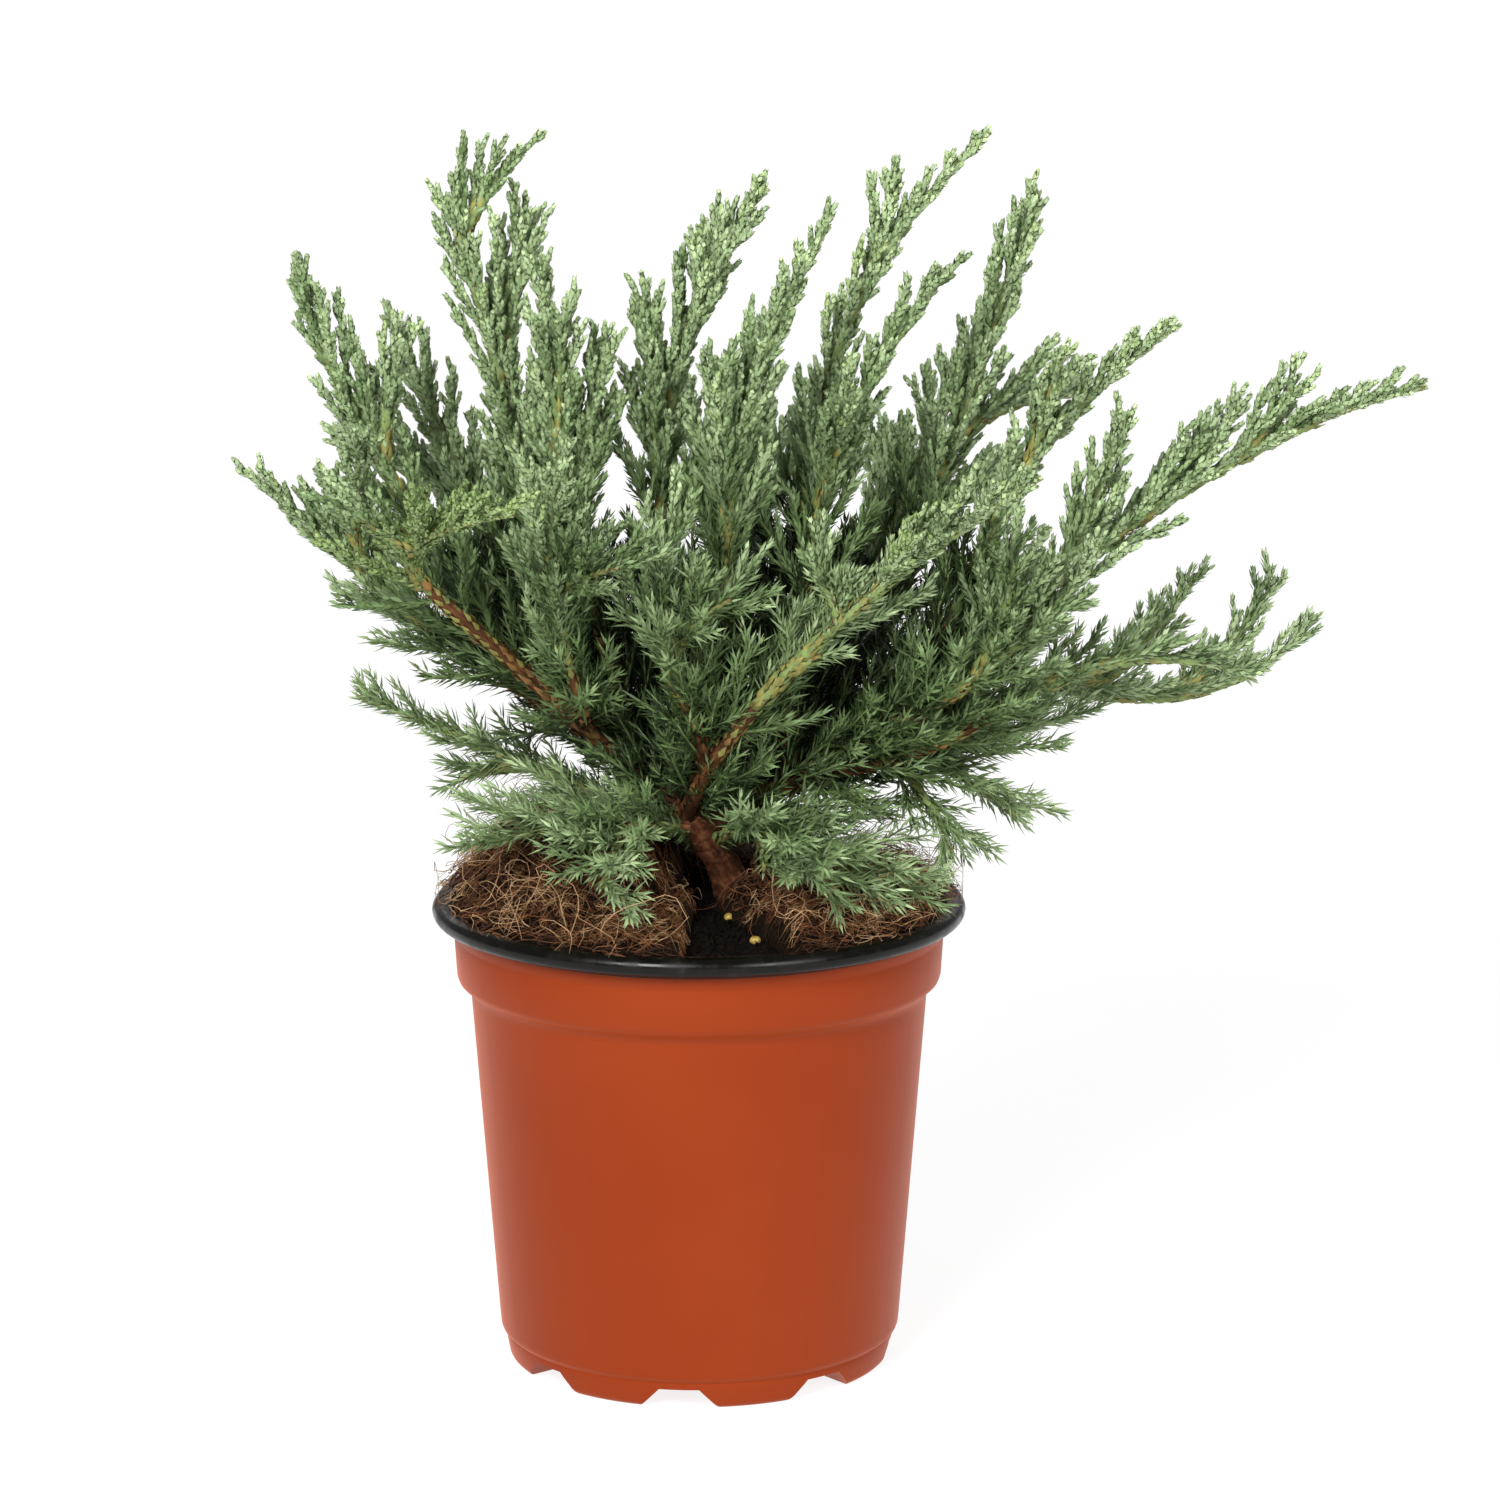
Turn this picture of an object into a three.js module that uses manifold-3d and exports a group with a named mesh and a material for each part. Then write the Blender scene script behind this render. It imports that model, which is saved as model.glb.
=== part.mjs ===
// Creeping juniper in a round nursery pot. Millimetres, +Z up, front towards -Y.
// The origin is the middle of the flat pad under the pot, which stands on the ground.
import * as THREE from "three";
import Module from "manifold-3d";
import { mergeVertices } from "three/addons/utils/BufferGeometryUtils.js";

const wasm = await Module();
wasm.setup();

// Clearances between neighbours
const GAP = 0.42;
const SEAT_GAP = 0.3;
const NEIGHBOUR_REACH = 1;

// Pot: a thin thermoformed shell, with a rolled lip, a raised band and eight foot notches
const POT_SEGMENTS = 32;
const POT_HEIGHT = 168.5;
const WALL = 1.4;
const FOOT_RADIUS = 66;
const FOOT_STEP_RADIUS = 69.8;
const FOOT_STEP_HEIGHT = 9;
const BODY_FOOT_RADIUS = 71.8;
const BODY_FOOT_HEIGHT = 12.5;
const BODY_TOP_RADIUS = 81.3;
const BODY_TOP_HEIGHT = 134;
const BAND_RADIUS = 86.4;
const BAND_FOOT_HEIGHT = 141;
const BAND_TOP_RADIUS = 87.5;
const LIP_FOOT_HEIGHT = 160;
const LIP_RADIUS = 95;
const LIP_THICKNESS = 8;
const LIP_ROUND = 2.5;
const CREASE = 1.4;
const CREASE_HEIGHT = 3.5;
const FOOT_ROUND = 3;
const NOTCHES = 8;
const NOTCH_TURN = -5.5;
const NOTCH_HALF_FOOT = 14;
const NOTCH_HALF_TOP = 7.1;
const NOTCH_HEIGHT = 7.3;
const NOTCH_INNER_END = 30;
const NOTCH_OVERRUN = 2;
const DRAIN_RADIUS = 4;
const DRAIN_SIDES = 6;
const DRAIN_BEARING_RADIUS = 50;

// Soil and the mat of coconut fibre on it
const SOIL_HEIGHT = 166;
const SOIL_EDGE_HEIGHT = 163;
const SOIL_FLAT_RADIUS = 46;
const SOIL_EDGE_CLEARANCE = 0.5;
const MAT_EDGE_CLEARANCE = 0.9;
const MAT_OVERHANG = 88.5;
const MAT_THICKNESS = 4;
const MAT_SINK = 1;
const MAT_EDGE = 22;
const MAT_RISE = 2;
const MAT_RIPPLE = 1.1;
const MAT_SWELL_LEFT = 17;
const MAT_SWELL_LEFT_BEARING = -112;
const MAT_SWELL_RIGHT = 5;
const MAT_SWELL_RIGHT_BEARING = 80;
const MAT_RINGS = [85, 68, 44];
const MAT_HOLE_RADIUS = 19;
const MAT_HOLE_SIDES = 14;
const MAT_HOLE_SHIFT = -3;
// Bearings of the front slit and of the cut at the back, counted from the front to the right
const MAT_RIGHT_FROM = 24;
const MAT_RIGHT_TO = 168;
const MAT_LEFT_FROM = 169;
const MAT_LEFT_TO = 356;

// Needles stand out of a slim three-sided core, in bands of three. Each is larger than life
// and stands for a short side sprig.
const SPRAY_CORE = 0.85;
const SPRAY_CORE_TIP = 0.5;
const SPRAY_BAND = 13;
const SPRAY_ROOT = 9;
const OUTER_ROOT = 1;
const NEEDLE_REACH = 8;
const NEEDLE_TIP_REACH = 4;
const NEEDLE_LEAN = 1.5;
const REACH_PER_LENGTH = 0.035;
const GOLDEN_TURN = 2.39996;

// Trunk: flat cut at the soil, flare, then a lean to the left and forward up to the fork
const TRUNK = {
  from: [13, 15, SOIL_HEIGHT + SEAT_GAP],
  via: [6, 6, 183],
  tip: [-4, -6, 200],
  flare: 9.5,
  neck: 5.6,
  crown: 6,
  flareEnd: 0.45,
  shoulder: 0.6,
  sides: 9,
  steps: 7,
  buried: 6,
};

// Boughs. "on" and "at" say where one leaves the limb that bears it, "via" is its middle,
// "tip" is where it enters its foliage, "girth" holds its radii at foot and tip.
const BOUGHS = [
  { name: "bough_left_lead", on: "trunk", at: 0.93,
    via: [-46, -10, 238], tip: [-92, -40, 286], girth: [3.4, 2.2] },
  { name: "bough_front", on: "trunk", at: 0.98,
    via: [3, -26, 219], tip: [20, -41, 245], girth: [3.3, 2.2] },
  { name: "bough_right", on: "trunk", at: 0.8,
    via: [44, -10, 219], tip: [90, -8, 250], girth: [3.6, 2.2] },
  { name: "bough_back", on: "trunk", at: 0.7,
    via: [6, 38, 208], tip: [10, 66, 242], girth: [3.5, 2.2] },
  { name: "bough_left_back", on: "trunk", at: 0.86,
    via: [-30, 28, 224], tip: [-62, 52, 264], girth: [3.4, 2.2] },
  { name: "bough_right_back", on: "trunk", at: 0.76,
    via: [34, 28, 220], tip: [70, 46, 262], girth: [3.6, 2.2] },
  { name: "bough_left_low", on: "bough_left_lead", at: 0.36,
    via: [-62, 6, 242], tip: [-86, 8, 258], girth: [2.6, 2] },
  { name: "bough_left_tall", on: "bough_left_low", at: 0.5,
    via: [-76, 20, 262], tip: [-88, 24, 280], girth: [2.2, 1.9] },
  { name: "bough_left_front", on: "bough_left_lead", at: 0.4,
    via: [-40, -24, 240], tip: [-44, -34, 256], girth: [2.4, 1.9] },
  { name: "bough_tall_left", on: "bough_left_back", at: 0.42,
    via: [-44, 26, 250], tip: [-54, 22, 278], girth: [2.6, 2] },
  { name: "bough_back_left", on: "bough_left_back", at: 0.3,
    via: [-28, 60, 234], tip: [-40, 80, 256], girth: [2.5, 1.9] },
  { name: "bough_centre_left", on: "bough_left_lead", at: 0.22,
    via: [-29, 4, 242], tip: [-36, 2, 266], girth: [2.6, 2] },
  { name: "bough_centre", on: "trunk", at: 0.97,
    via: [-9, 6, 234], tip: [-10, 12, 268], girth: [3.1, 2.1] },
  { name: "bough_centre_lean", on: "bough_centre", at: 0.34,
    via: [2, -4, 246], tip: [10, -12, 270], girth: [2.6, 2] },
  { name: "bough_centre_front", on: "bough_front", at: 0.45,
    via: [0, -34, 234], tip: [-5, -40, 248], girth: [2.4, 1.9] },
  { name: "bough_right_tall", on: "bough_right_back", at: 0.36,
    via: [32, 22, 250], tip: [38, 24, 282], girth: [2.7, 2] },
  { name: "bough_right_lean", on: "bough_right", at: 0.36,
    via: [32, -4, 240], tip: [38, -4, 264], girth: [2.6, 2] },
  { name: "bough_right_upper", on: "bough_right", at: 0.72,
    via: [84, 10, 258], tip: [96, 14, 276], girth: [2.4, 1.9] },
  { name: "bough_back_right", on: "bough_right_back", at: 0.34,
    via: [38, 56, 232], tip: [54, 80, 256], girth: [2.5, 1.9] },
  { name: "bough_right_front", on: "bough_right", at: 0.56,
    via: [70, -26, 236], tip: [84, -36, 246], girth: [2.4, 1.9] },
  { name: "bough_right_low", on: "bough_right", at: 0.44,
    via: [72, -20, 224], tip: [100, -25, 238], girth: [2.5, 2] },
  { name: "bough_right_side", on: "bough_right_back", at: 0.5,
    via: [78, 42, 238], tip: [104, 42, 246], girth: [2.5, 2] },
  { name: "bough_low_right", on: "bough_right", at: 0.3,
    via: [42, 6, 209], tip: [54, 6, 216], girth: [2.4, 1.9] },
];

// Foliage. Each mass has one stem from its bough's tip, or from the trunk, to the first
// shoot's tip, and the other shoots fork from that stem at "at".
const MASSES = [
  { name: "foliage_left_lead", on: "bough_left_lead", shoots: [
    { tip: [-54, -114, 325] }, { at: 0.3, tip: [-128, -63, 320] }] },
  { name: "foliage_front", on: "bough_front", shoots: [
    { tip: [118, -114, 339] }, { at: 0.12, tip: [47, -58, 268] }, { at: 0.3, tip: [35, -68, 304] }] },
  { name: "foliage_right_long", on: "bough_right", shoots: [
    { tip: [261, 20, 349], via: [176, 10, 316] }, { at: 0.22, tip: [150, 0, 346] },
    { at: 0.4, tip: [196, 42, 341] }, { at: 0.62, tip: [212, 16, 354] }] },
  { name: "foliage_back", on: "bough_back", shoots: [
    { tip: [24, 154, 363] }, { at: 0.2, tip: [-14, 141, 338] }, { at: 0.3, tip: [56, 135, 328] }] },
  { name: "foliage_left_back", on: "bough_left_back", shoots: [
    { tip: [-113, 86, 371] }, { at: 0.3, tip: [-139, 102, 317] }] },
  { name: "foliage_right_back", on: "bough_right_back", shoots: [
    { tip: [123, 60, 417], via: [97, 47, 342] }, { at: 0.3, tip: [81, 40, 340] },
    { at: 0.4, tip: [140, 91, 335] }] },
  { name: "foliage_left_low", on: "bough_left_low", shoots: [
    { tip: [-159, 0, 322] }, { at: 0.4, tip: [-113, -38, 338] }] },
  { name: "foliage_left_tall", on: "bough_left_tall", shoots: [
    { tip: [-144, 30, 392], via: [-121, 28, 336] }, { at: 0.35, tip: [-104, 30, 366] }] },
  { name: "foliage_left_front", on: "bough_left_front", shoots: [
    { tip: [-46, -74, 337] }, { at: 0.3, tip: [-22, -79, 301] }] },
  { name: "foliage_tall_left", on: "bough_tall_left", shoots: [
    { tip: [-91, 30, 419], via: [-70, 27, 350] }, { at: 0.84, tip: [-50, 50, 439] },
    { at: 0.5, tip: [-60, 46, 412] }] },
  { name: "foliage_back_left", on: "bough_back_left", shoots: [
    { tip: [-77, 164, 349] }, { at: 0.2, tip: [-113, 146, 305] }, { at: 0.3, tip: [-35, 164, 319] }] },
  { name: "foliage_centre_left", on: "bough_centre_left", shoots: [
    { tip: [-55, 10, 402] }, { at: 0.4, tip: [-46, -12, 384] }, { at: 0.2, tip: [-30, 4, 372] }] },
  { name: "foliage_centre", on: "bough_centre", shoots: [
    { tip: [27, 40, 422], via: [-9, 22, 348] }, { at: 0.3, tip: [-20, 20, 384] },
    { at: 0.55, tip: [10, 56, 404] }] },
  { name: "foliage_centre_lean", on: "bough_centre_lean", shoots: [
    { tip: [48, -10, 413], via: [17, -20, 345] }, { at: 0.2, tip: [8, -34, 366] }] },
  { name: "foliage_centre_front", on: "bough_centre_front", shoots: [
    { tip: [-6, -60, 322] }, { at: 0.2, tip: [16, -68, 290] }] },
  { name: "foliage_right_tall", on: "bough_right_tall", shoots: [
    { tip: [108, 60, 438], via: [53, 36, 368] }, { at: 0.6, tip: [69, 60, 423] }] },
  { name: "foliage_right_lean", on: "bough_right_lean", shoots: [
    { tip: [92, 10, 397], via: [51, 3, 332] }, { at: 0.3, tip: [52, -30, 350] }] },
  { name: "foliage_right_upper", on: "bough_right_upper", shoots: [
    { tip: [176, 40, 371], via: [124, 25, 328] }, { at: 0.35, tip: [128, 10, 366] }] },
  { name: "foliage_back_right", on: "bough_back_right", shoots: [
    { tip: [97, 156, 345] }, { at: 0.25, tip: [127, 133, 303] }, { at: 0.3, tip: [67, 167, 310] }] },
  { name: "foliage_right_front", on: "bough_right_front", shoots: [
    { tip: [138, -60, 301] }, { at: 0.2, tip: [108, -71, 304] }] },
  { name: "foliage_right_low", on: "bough_right_low", shoots: [
    { tip: [197, -30, 251], via: [150, -32, 260] }] },
  { name: "foliage_right_side", on: "bough_right_side", shoots: [
    { tip: [229, 73, 260], via: [176, 54, 231] }, { at: 0.5, tip: [215, 96, 271] },
    { at: 0.25, tip: [185, 86, 275] }] },
  { name: "foliage_low_right", on: "bough_low_right", shoots: [
    { tip: [120, 0, 192] }, { at: 0.2, tip: [141, 26, 230] }, { at: 0.15, tip: [92, -22, 182] }] },
  { name: "foliage_low_left", on: "trunk", at: 0.6, shoots: [
    { tip: [-127, 20, 239], via: [-62, 12, 214] }, { at: 0.5, tip: [-93, 20, 203] }] },
  { name: "foliage_low_front_left", on: "trunk", at: 0.72, shoots: [
    { tip: [-76, -40, 195], via: [-36, -24, 200] }, { at: 0.3, tip: [-33, -68, 184] }] },
  { name: "foliage_low_front", on: "trunk", at: 0.62, shoots: [
    { tip: [53, -60, 178], via: [26, -30, 197] }, { at: 0.4, tip: [22, -54, 186] },
    { at: 0.45, tip: [80, -38, 178] }] },
  { name: "foliage_low_back", on: "trunk", at: 0.5, shoots: [
    { tip: [30, 107, 204], via: [20, 52, 206] }, { at: 0.35, tip: [74, 70, 210] },
    { at: 0.3, tip: [-30, 91, 213] }] },
];

const BOUGH_SIDES = 5;
const BOUGH_STEP = 22;

// How a shoot is clothed
const STEM_FOOT = 1.9;
const STEM_TIP = 1.1;
const STEM_ON_TRUNK = 0.5;
const STEM_ON_BOUGH = 0.3;
const FORK_FOOT = 1.7;
const STEM_BAND = 16;
const STEM_ROOT = 6;
const FORK_ROOT = 14;
const CURL = 0.4;
const FORK_TURN = 1.2;
const CROWN_TOP = 436;
const SPRAY_TRIES = 6;
const SPRAY_PITCH = 42;
const SPRAY_FIRST = 0.16;
const SPRAY_LAST = 0.8;
const SPRAY_LONGEST = 42;
const SPRAY_SHORTEST = 22;
const SPRAY_SPREAD = 0.7;
const SPRAY_LIFT = 0.32;
const SPRAY_HEADING = 0.5;
const SPRAY_REACH = 0.35;
const SPRAY_BACK = 0.2;

const FOLIAGE_TONES = ["#6c8f78", "#7a9c80", "#5d8070", "#86a584"];
const BARK = new THREE.MeshStandardMaterial({ color: "#7a4f35", roughness: 0.85, metalness: 0 });

// Same draws in the same order on every run
let draw = 53;
function chance(low, high) {
  draw = (draw * 1664525 + 1013904223) % 4294967296;
  return low + (high - low) * (draw / 4294967296);
}

function point([x, y, z]) {
  return new THREE.Vector3(x, y, z);
}

function radians(degrees) {
  return (degrees * Math.PI) / 180;
}

function toSolid(geometry) {
  const bare = geometry.clone();
  bare.deleteAttribute("normal");
  bare.deleteAttribute("uv");
  const merged = mergeVertices(bare);
  const mesh = new wasm.Mesh({
    numProp: 3,
    vertProperties: Float32Array.from(merged.attributes.position.array),
    triVerts: Uint32Array.from(merged.index.array),
  });
  mesh.merge();
  return new wasm.Manifold(mesh);
}

function toGeometry(solid) {
  const mesh = solid.getMesh();
  const geometry = new THREE.BufferGeometry();
  geometry.setAttribute("position", new THREE.BufferAttribute(mesh.vertProperties, 3));
  geometry.setIndex(new THREE.BufferAttribute(mesh.triVerts, 1));
  geometry.computeVertexNormals();
  return geometry;
}

// The biggest body alone: loose scraps fall away and sealed hollows are filled
function largest(solid) {
  const bodies = solid.decompose();
  return bodies.reduce((best, body) => (body.volume() > best.volume() ? body : best));
}

function fuse(solids) {
  return largest(wasm.Manifold.union(solids));
}

function fromFaces(points, faces) {
  const geometry = new THREE.BufferGeometry().setFromPoints(points);
  geometry.setIndex(faces.flat());
  return toSolid(geometry);
}

function lathe(profile) {
  const geometry = new THREE.LatheGeometry(profile.map(([r, z]) => new THREE.Vector2(r, z)), POT_SEGMENTS);
  geometry.rotateX(Math.PI / 2);
  return toSolid(geometry);
}

// A limb's centreline is one arc that passes its middle point halfway
function arcThrough(from, via, tip) {
  const control = via.clone().multiplyScalar(2).addScaledVector(from, -0.5).addScaledVector(tip, -0.5);
  return new THREE.QuadraticBezierCurve3(from, control, tip);
}

// A shoot leaves along its bearer's direction and curls round to its tip
function curlTo(from, along, tip) {
  const control = from.clone().addScaledVector(along, CURL * from.distanceTo(tip));
  return new THREE.QuadraticBezierCurve3(from, control, tip);
}

// A tapering limb with flat ends. "grown" adds that much all round it and past both ends,
// for cutting what comes near it.
function limb(curve, sides, steps, radiusAt, grown) {
  const frames = curve.computeFrenetFrames(steps);
  const points = [];
  const faces = [];
  for (let i = 0; i <= steps; i += 1) {
    const past = i === 0 ? -grown : i === steps ? grown : 0;
    const centre = curve.getPointAt(i / steps).addScaledVector(frames.tangents[i], past);
    for (let j = 0; j < sides; j += 1) {
      const turn = (2 * Math.PI * j) / sides;
      const spoke = frames.normals[i].clone().multiplyScalar(Math.cos(turn));
      spoke.addScaledVector(frames.binormals[i], Math.sin(turn));
      points.push(centre.clone().addScaledVector(spoke, radiusAt(i / steps) + grown));
    }
  }
  for (let i = 0; i < steps; i += 1) {
    for (let j = 0; j < sides; j += 1) {
      const a = i * sides + j;
      const b = i * sides + ((j + 1) % sides);
      faces.push([a, b, b + sides], [a, b + sides, a + sides]);
    }
  }
  const last = steps * sides;
  for (let j = 1; j < sides - 1; j += 1) {
    faces.push([0, j + 1, j], [last, last + j, last + j + 1]);
  }
  return fromFaces(points, faces);
}

// A spray: a slim three-sided core with a bare root, then bands of three needles that lean
// forward out of it. "shape" holds its bands, root length, core and needle reach.
function spray(curve, shape) {
  const length = curve.getLength();
  const { bands } = shape;
  const root = shape.root / length;
  const bandShare = (1 - root) / (bands + 1);
  const share = (i) => (i === 0 ? 0 : root + bandShare * (i - 1));
  const frames = curve.computeFrenetFrames(bands + 2);
  const points = [];
  const faces = [[0, 2, 1]];
  function around(i, turn, radius, ahead = 0) {
    const spoke = frames.normals[i].clone().multiplyScalar(Math.cos(turn));
    spoke.addScaledVector(frames.binormals[i], Math.sin(turn));
    return curve.getPointAt(share(i) + ahead * bandShare).addScaledVector(spoke, radius);
  }
  for (let i = 0; i <= bands + 1; i += 1) {
    const thickness = shape.core[0] + (shape.core[1] - shape.core[0]) * share(i);
    for (let j = 0; j < 3; j += 1) {
      points.push(around(i, radians(60 * i + 120 * j), thickness));
    }
  }
  for (let i = 0; i <= bands; i += 1) {
    const reach = shape.reach[0] + (shape.reach[1] - shape.reach[0]) * share(i);
    for (let j = 0; j < 3; j += 1) {
      const a = 3 * i + j;
      const b = 3 * i + ((j + 1) % 3);
      const c = a + 3;
      const d = b + 3;
      if (i === 0) {
        faces.push([a, b, c], [b, d, c]);
      } else {
        const n = points.push(around(i, radians(60 * i + 60 + 120 * j), reach, NEEDLE_LEAN)) - 1;
        faces.push([a, b, n], [b, c, n], [c, a, n], [b, d, c]);
      }
    }
  }
  const tip = points.push(curve.getPointAt(1)) - 1;
  const top = 3 * (bands + 1);
  faces.push([top, top + 1, tip], [top + 1, top + 2, tip], [top + 2, top, tip]);
  return fromFaces(points, faces);
}

function clearOf(solid, others) {
  return others.every((other) => solid.minGap(other, 2 * SEAT_GAP) >= SEAT_GAP);
}

function near(solid, others) {
  const box = solid.boundingBox();
  return others.filter((other) => {
    const reach = other.boundingBox();
    return [0, 1, 2].every((k) => {
      const below = box.min[k] - NEIGHBOUR_REACH < reach.max[k];
      return below && box.max[k] + NEIGHBOUR_REACH > reach.min[k];
    });
  });
}

const plant = new THREE.Group();
function add(name, solid, material) {
  const mesh = new THREE.Mesh(toGeometry(solid), material);
  mesh.name = name;
  plant.add(mesh);
}

// Pot
const outline = [
  [FOOT_RADIUS, 0],
  [FOOT_RADIUS + FOOT_ROUND, FOOT_ROUND],
  [FOOT_STEP_RADIUS, FOOT_STEP_HEIGHT],
  [BODY_FOOT_RADIUS, BODY_FOOT_HEIGHT],
  [BODY_TOP_RADIUS, BODY_TOP_HEIGHT],
  [BAND_RADIUS - CREASE, BAND_FOOT_HEIGHT - CREASE_HEIGHT],
  [BAND_RADIUS, BAND_FOOT_HEIGHT],
  [BAND_TOP_RADIUS, LIP_FOOT_HEIGHT],
];
const lip = [
  [LIP_RADIUS - LIP_ROUND, POT_HEIGHT - LIP_THICKNESS],
  [LIP_RADIUS, POT_HEIGHT - LIP_THICKNESS + LIP_ROUND],
  [LIP_RADIUS, POT_HEIGHT - LIP_ROUND],
  [LIP_RADIUS - LIP_ROUND, POT_HEIGHT],
  [BAND_TOP_RADIUS, POT_HEIGHT],
  [BAND_TOP_RADIUS - WALL, POT_HEIGHT - WALL],
];
// The inside of the shell: the outline moved in by the wall
function inside(inset) {
  const wall = outline.slice(1).map(([r, z]) => [r - inset, z]);
  return [[0, inset], [FOOT_RADIUS - inset, inset], ...wall];
}
function notch(grown) {
  const section = new THREE.Shape();
  const slope = (NOTCH_HALF_FOOT - NOTCH_HALF_TOP) / NOTCH_HEIGHT;
  const below = NOTCH_HALF_FOOT + slope * NOTCH_OVERRUN + grown;
  section.moveTo(-below, -NOTCH_OVERRUN);
  section.lineTo(below, -NOTCH_OVERRUN);
  section.lineTo(NOTCH_HALF_TOP + grown, NOTCH_HEIGHT + grown);
  section.lineTo(-NOTCH_HALF_TOP - grown, NOTCH_HEIGHT + grown);
  const length = BODY_FOOT_RADIUS + NOTCH_OVERRUN - NOTCH_INNER_END + grown;
  const geometry = new THREE.ExtrudeGeometry(section, { depth: length, bevelEnabled: false });
  geometry.rotateX(Math.PI / 2);
  geometry.translate(0, -NOTCH_INNER_END + grown, 0);
  return geometry;
}
function drain() {
  const geometry = new THREE.CylinderGeometry(DRAIN_RADIUS, DRAIN_RADIUS, NOTCH_HEIGHT * 4, DRAIN_SIDES);
  geometry.rotateX(Math.PI / 2);
  geometry.translate(0, -DRAIN_BEARING_RADIUS, 0);
  return geometry;
}
// The same cut at each notch round the foot
function allRound(geometry) {
  const cuts = [];
  for (let i = 0; i < NOTCHES; i += 1) {
    cuts.push(toSolid(geometry.clone().rotateZ(radians(NOTCH_TURN + (i * 360) / NOTCHES))));
  }
  return wasm.Manifold.union(cuts);
}
const block = lathe([[0, 0], ...outline, ...lip, [0, POT_HEIGHT - WALL]]);
const mouth = BAND_TOP_RADIUS - WALL;
const hollow = lathe([...inside(WALL), [mouth, 2 * POT_HEIGHT], [0, 2 * POT_HEIGHT]]);
const room = hollow.subtract(allRound(notch(WALL)));
const shell = block.subtract(allRound(notch(0))).subtract(room).subtract(allRound(drain()));
add("pot", shell, new THREE.MeshStandardMaterial({ color: "#b4502c", roughness: 0.5, metalness: 0 }));

// Soil, nearly flush with the rim, on the roofs of the notches
const soilEdge = BAND_TOP_RADIUS - WALL - SOIL_EDGE_CLEARANCE;
const soilTop = [[soilEdge, SOIL_EDGE_HEIGHT], [SOIL_FLAT_RADIUS, SOIL_HEIGHT], [0, SOIL_HEIGHT]];
const soilFoot = NOTCH_HEIGHT + WALL + SEAT_GAP;
const soilWall = inside(WALL + SEAT_GAP).filter(([, z]) => z > soilFoot && z < LIP_FOOT_HEIGHT);
const soilFootRadius = FOOT_STEP_RADIUS - WALL - SEAT_GAP;
const soil = lathe([[0, soilFoot], [soilFootRadius, soilFoot], ...soilWall, ...soilTop]);
add("potting_soil", soil, new THREE.MeshStandardMaterial({ color: "#2a211b", roughness: 1, metalness: 0 }));

// Coconut fibre mat: a thick disc, slit at the front, with a hole round the trunk and a
// swollen left side. Its height follows the bearing, counted from the front to the right.
function matHeight(bearing, radius) {
  const left = Math.max(0, Math.cos(bearing - radians(MAT_SWELL_LEFT_BEARING)));
  const right = Math.max(0, Math.cos(bearing - radians(MAT_SWELL_RIGHT_BEARING)));
  const ripple = Math.sin(5 * bearing + 1) + Math.cos(3 * bearing + radius / 12);
  const shoulder = Math.min(1, (MAT_OVERHANG - radius) / MAT_EDGE + 0.2);
  const swell = MAT_SWELL_LEFT * left * left + MAT_SWELL_RIGHT * right * right;
  return MAT_THICKNESS + shoulder * (swell + MAT_RIPPLE * ripple + MAT_RISE);
}
function matBlank() {
  const inner = MAT_HOLE_RADIUS - MAT_THICKNESS;
  const under = SOIL_HEIGHT - 4 * MAT_THICKNESS;
  const rim = [[inner, under], [MAT_OVERHANG, under]];
  const profile = [...rim, ...[MAT_OVERHANG, ...MAT_RINGS, inner].map((r) => [r, SOIL_HEIGHT]), rim[0]];
  const geometry = new THREE.LatheGeometry(profile.map(([r, z]) => new THREE.Vector2(r, z)), POT_SEGMENTS);
  geometry.rotateX(Math.PI / 2);
  const places = geometry.attributes.position;
  for (let i = 0; i < places.count; i += 1) {
    const x = places.getX(i);
    const y = places.getY(i);
    if (places.getZ(i) > (under + SOIL_HEIGHT) / 2) {
      places.setZ(i, SOIL_HEIGHT - MAT_SINK + matHeight(Math.atan2(x, -y), Math.hypot(x, y)));
    }
  }
  return toSolid(geometry);
}
// What the mat lies on: the soil, and the lip where the mat's edge goes over it
function bedUnderMat() {
  const wall = BAND_TOP_RADIUS - WALL - MAT_EDGE_CLEARANCE;
  return lathe([
    [0, 0],
    [2 * LIP_RADIUS, 0],
    [2 * LIP_RADIUS, POT_HEIGHT + GAP],
    [wall, POT_HEIGHT + GAP],
    [wall, SOIL_EDGE_HEIGHT + GAP],
    [SOIL_FLAT_RADIUS, SOIL_HEIGHT + GAP],
    [0, SOIL_HEIGHT + GAP],
  ]);
}
function sector(from, to) {
  const steps = 8;
  const wedge = new THREE.Shape();
  wedge.moveTo(0, 0);
  for (let i = 0; i <= steps; i += 1) {
    const bearing = radians(from + ((to - from) * i) / steps);
    wedge.lineTo(2 * LIP_RADIUS * Math.sin(bearing), -2 * LIP_RADIUS * Math.cos(bearing));
  }
  return toSolid(new THREE.ExtrudeGeometry(wedge, { depth: 2 * POT_HEIGHT, bevelEnabled: false }));
}
function matHole() {
  const geometry = new THREE.CylinderGeometry(MAT_HOLE_RADIUS, MAT_HOLE_RADIUS, 4 * POT_HEIGHT, MAT_HOLE_SIDES);
  geometry.rotateX(Math.PI / 2);
  geometry.translate(TRUNK.from[0] + MAT_HOLE_SHIFT, TRUNK.from[1] + MAT_HOLE_SHIFT, 0);
  return toSolid(geometry);
}
const COIR = new THREE.MeshStandardMaterial({ color: "#7d6143", roughness: 1, metalness: 0 });
const mat = matBlank().subtract(bedUnderMat()).subtract(matHole());
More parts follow.
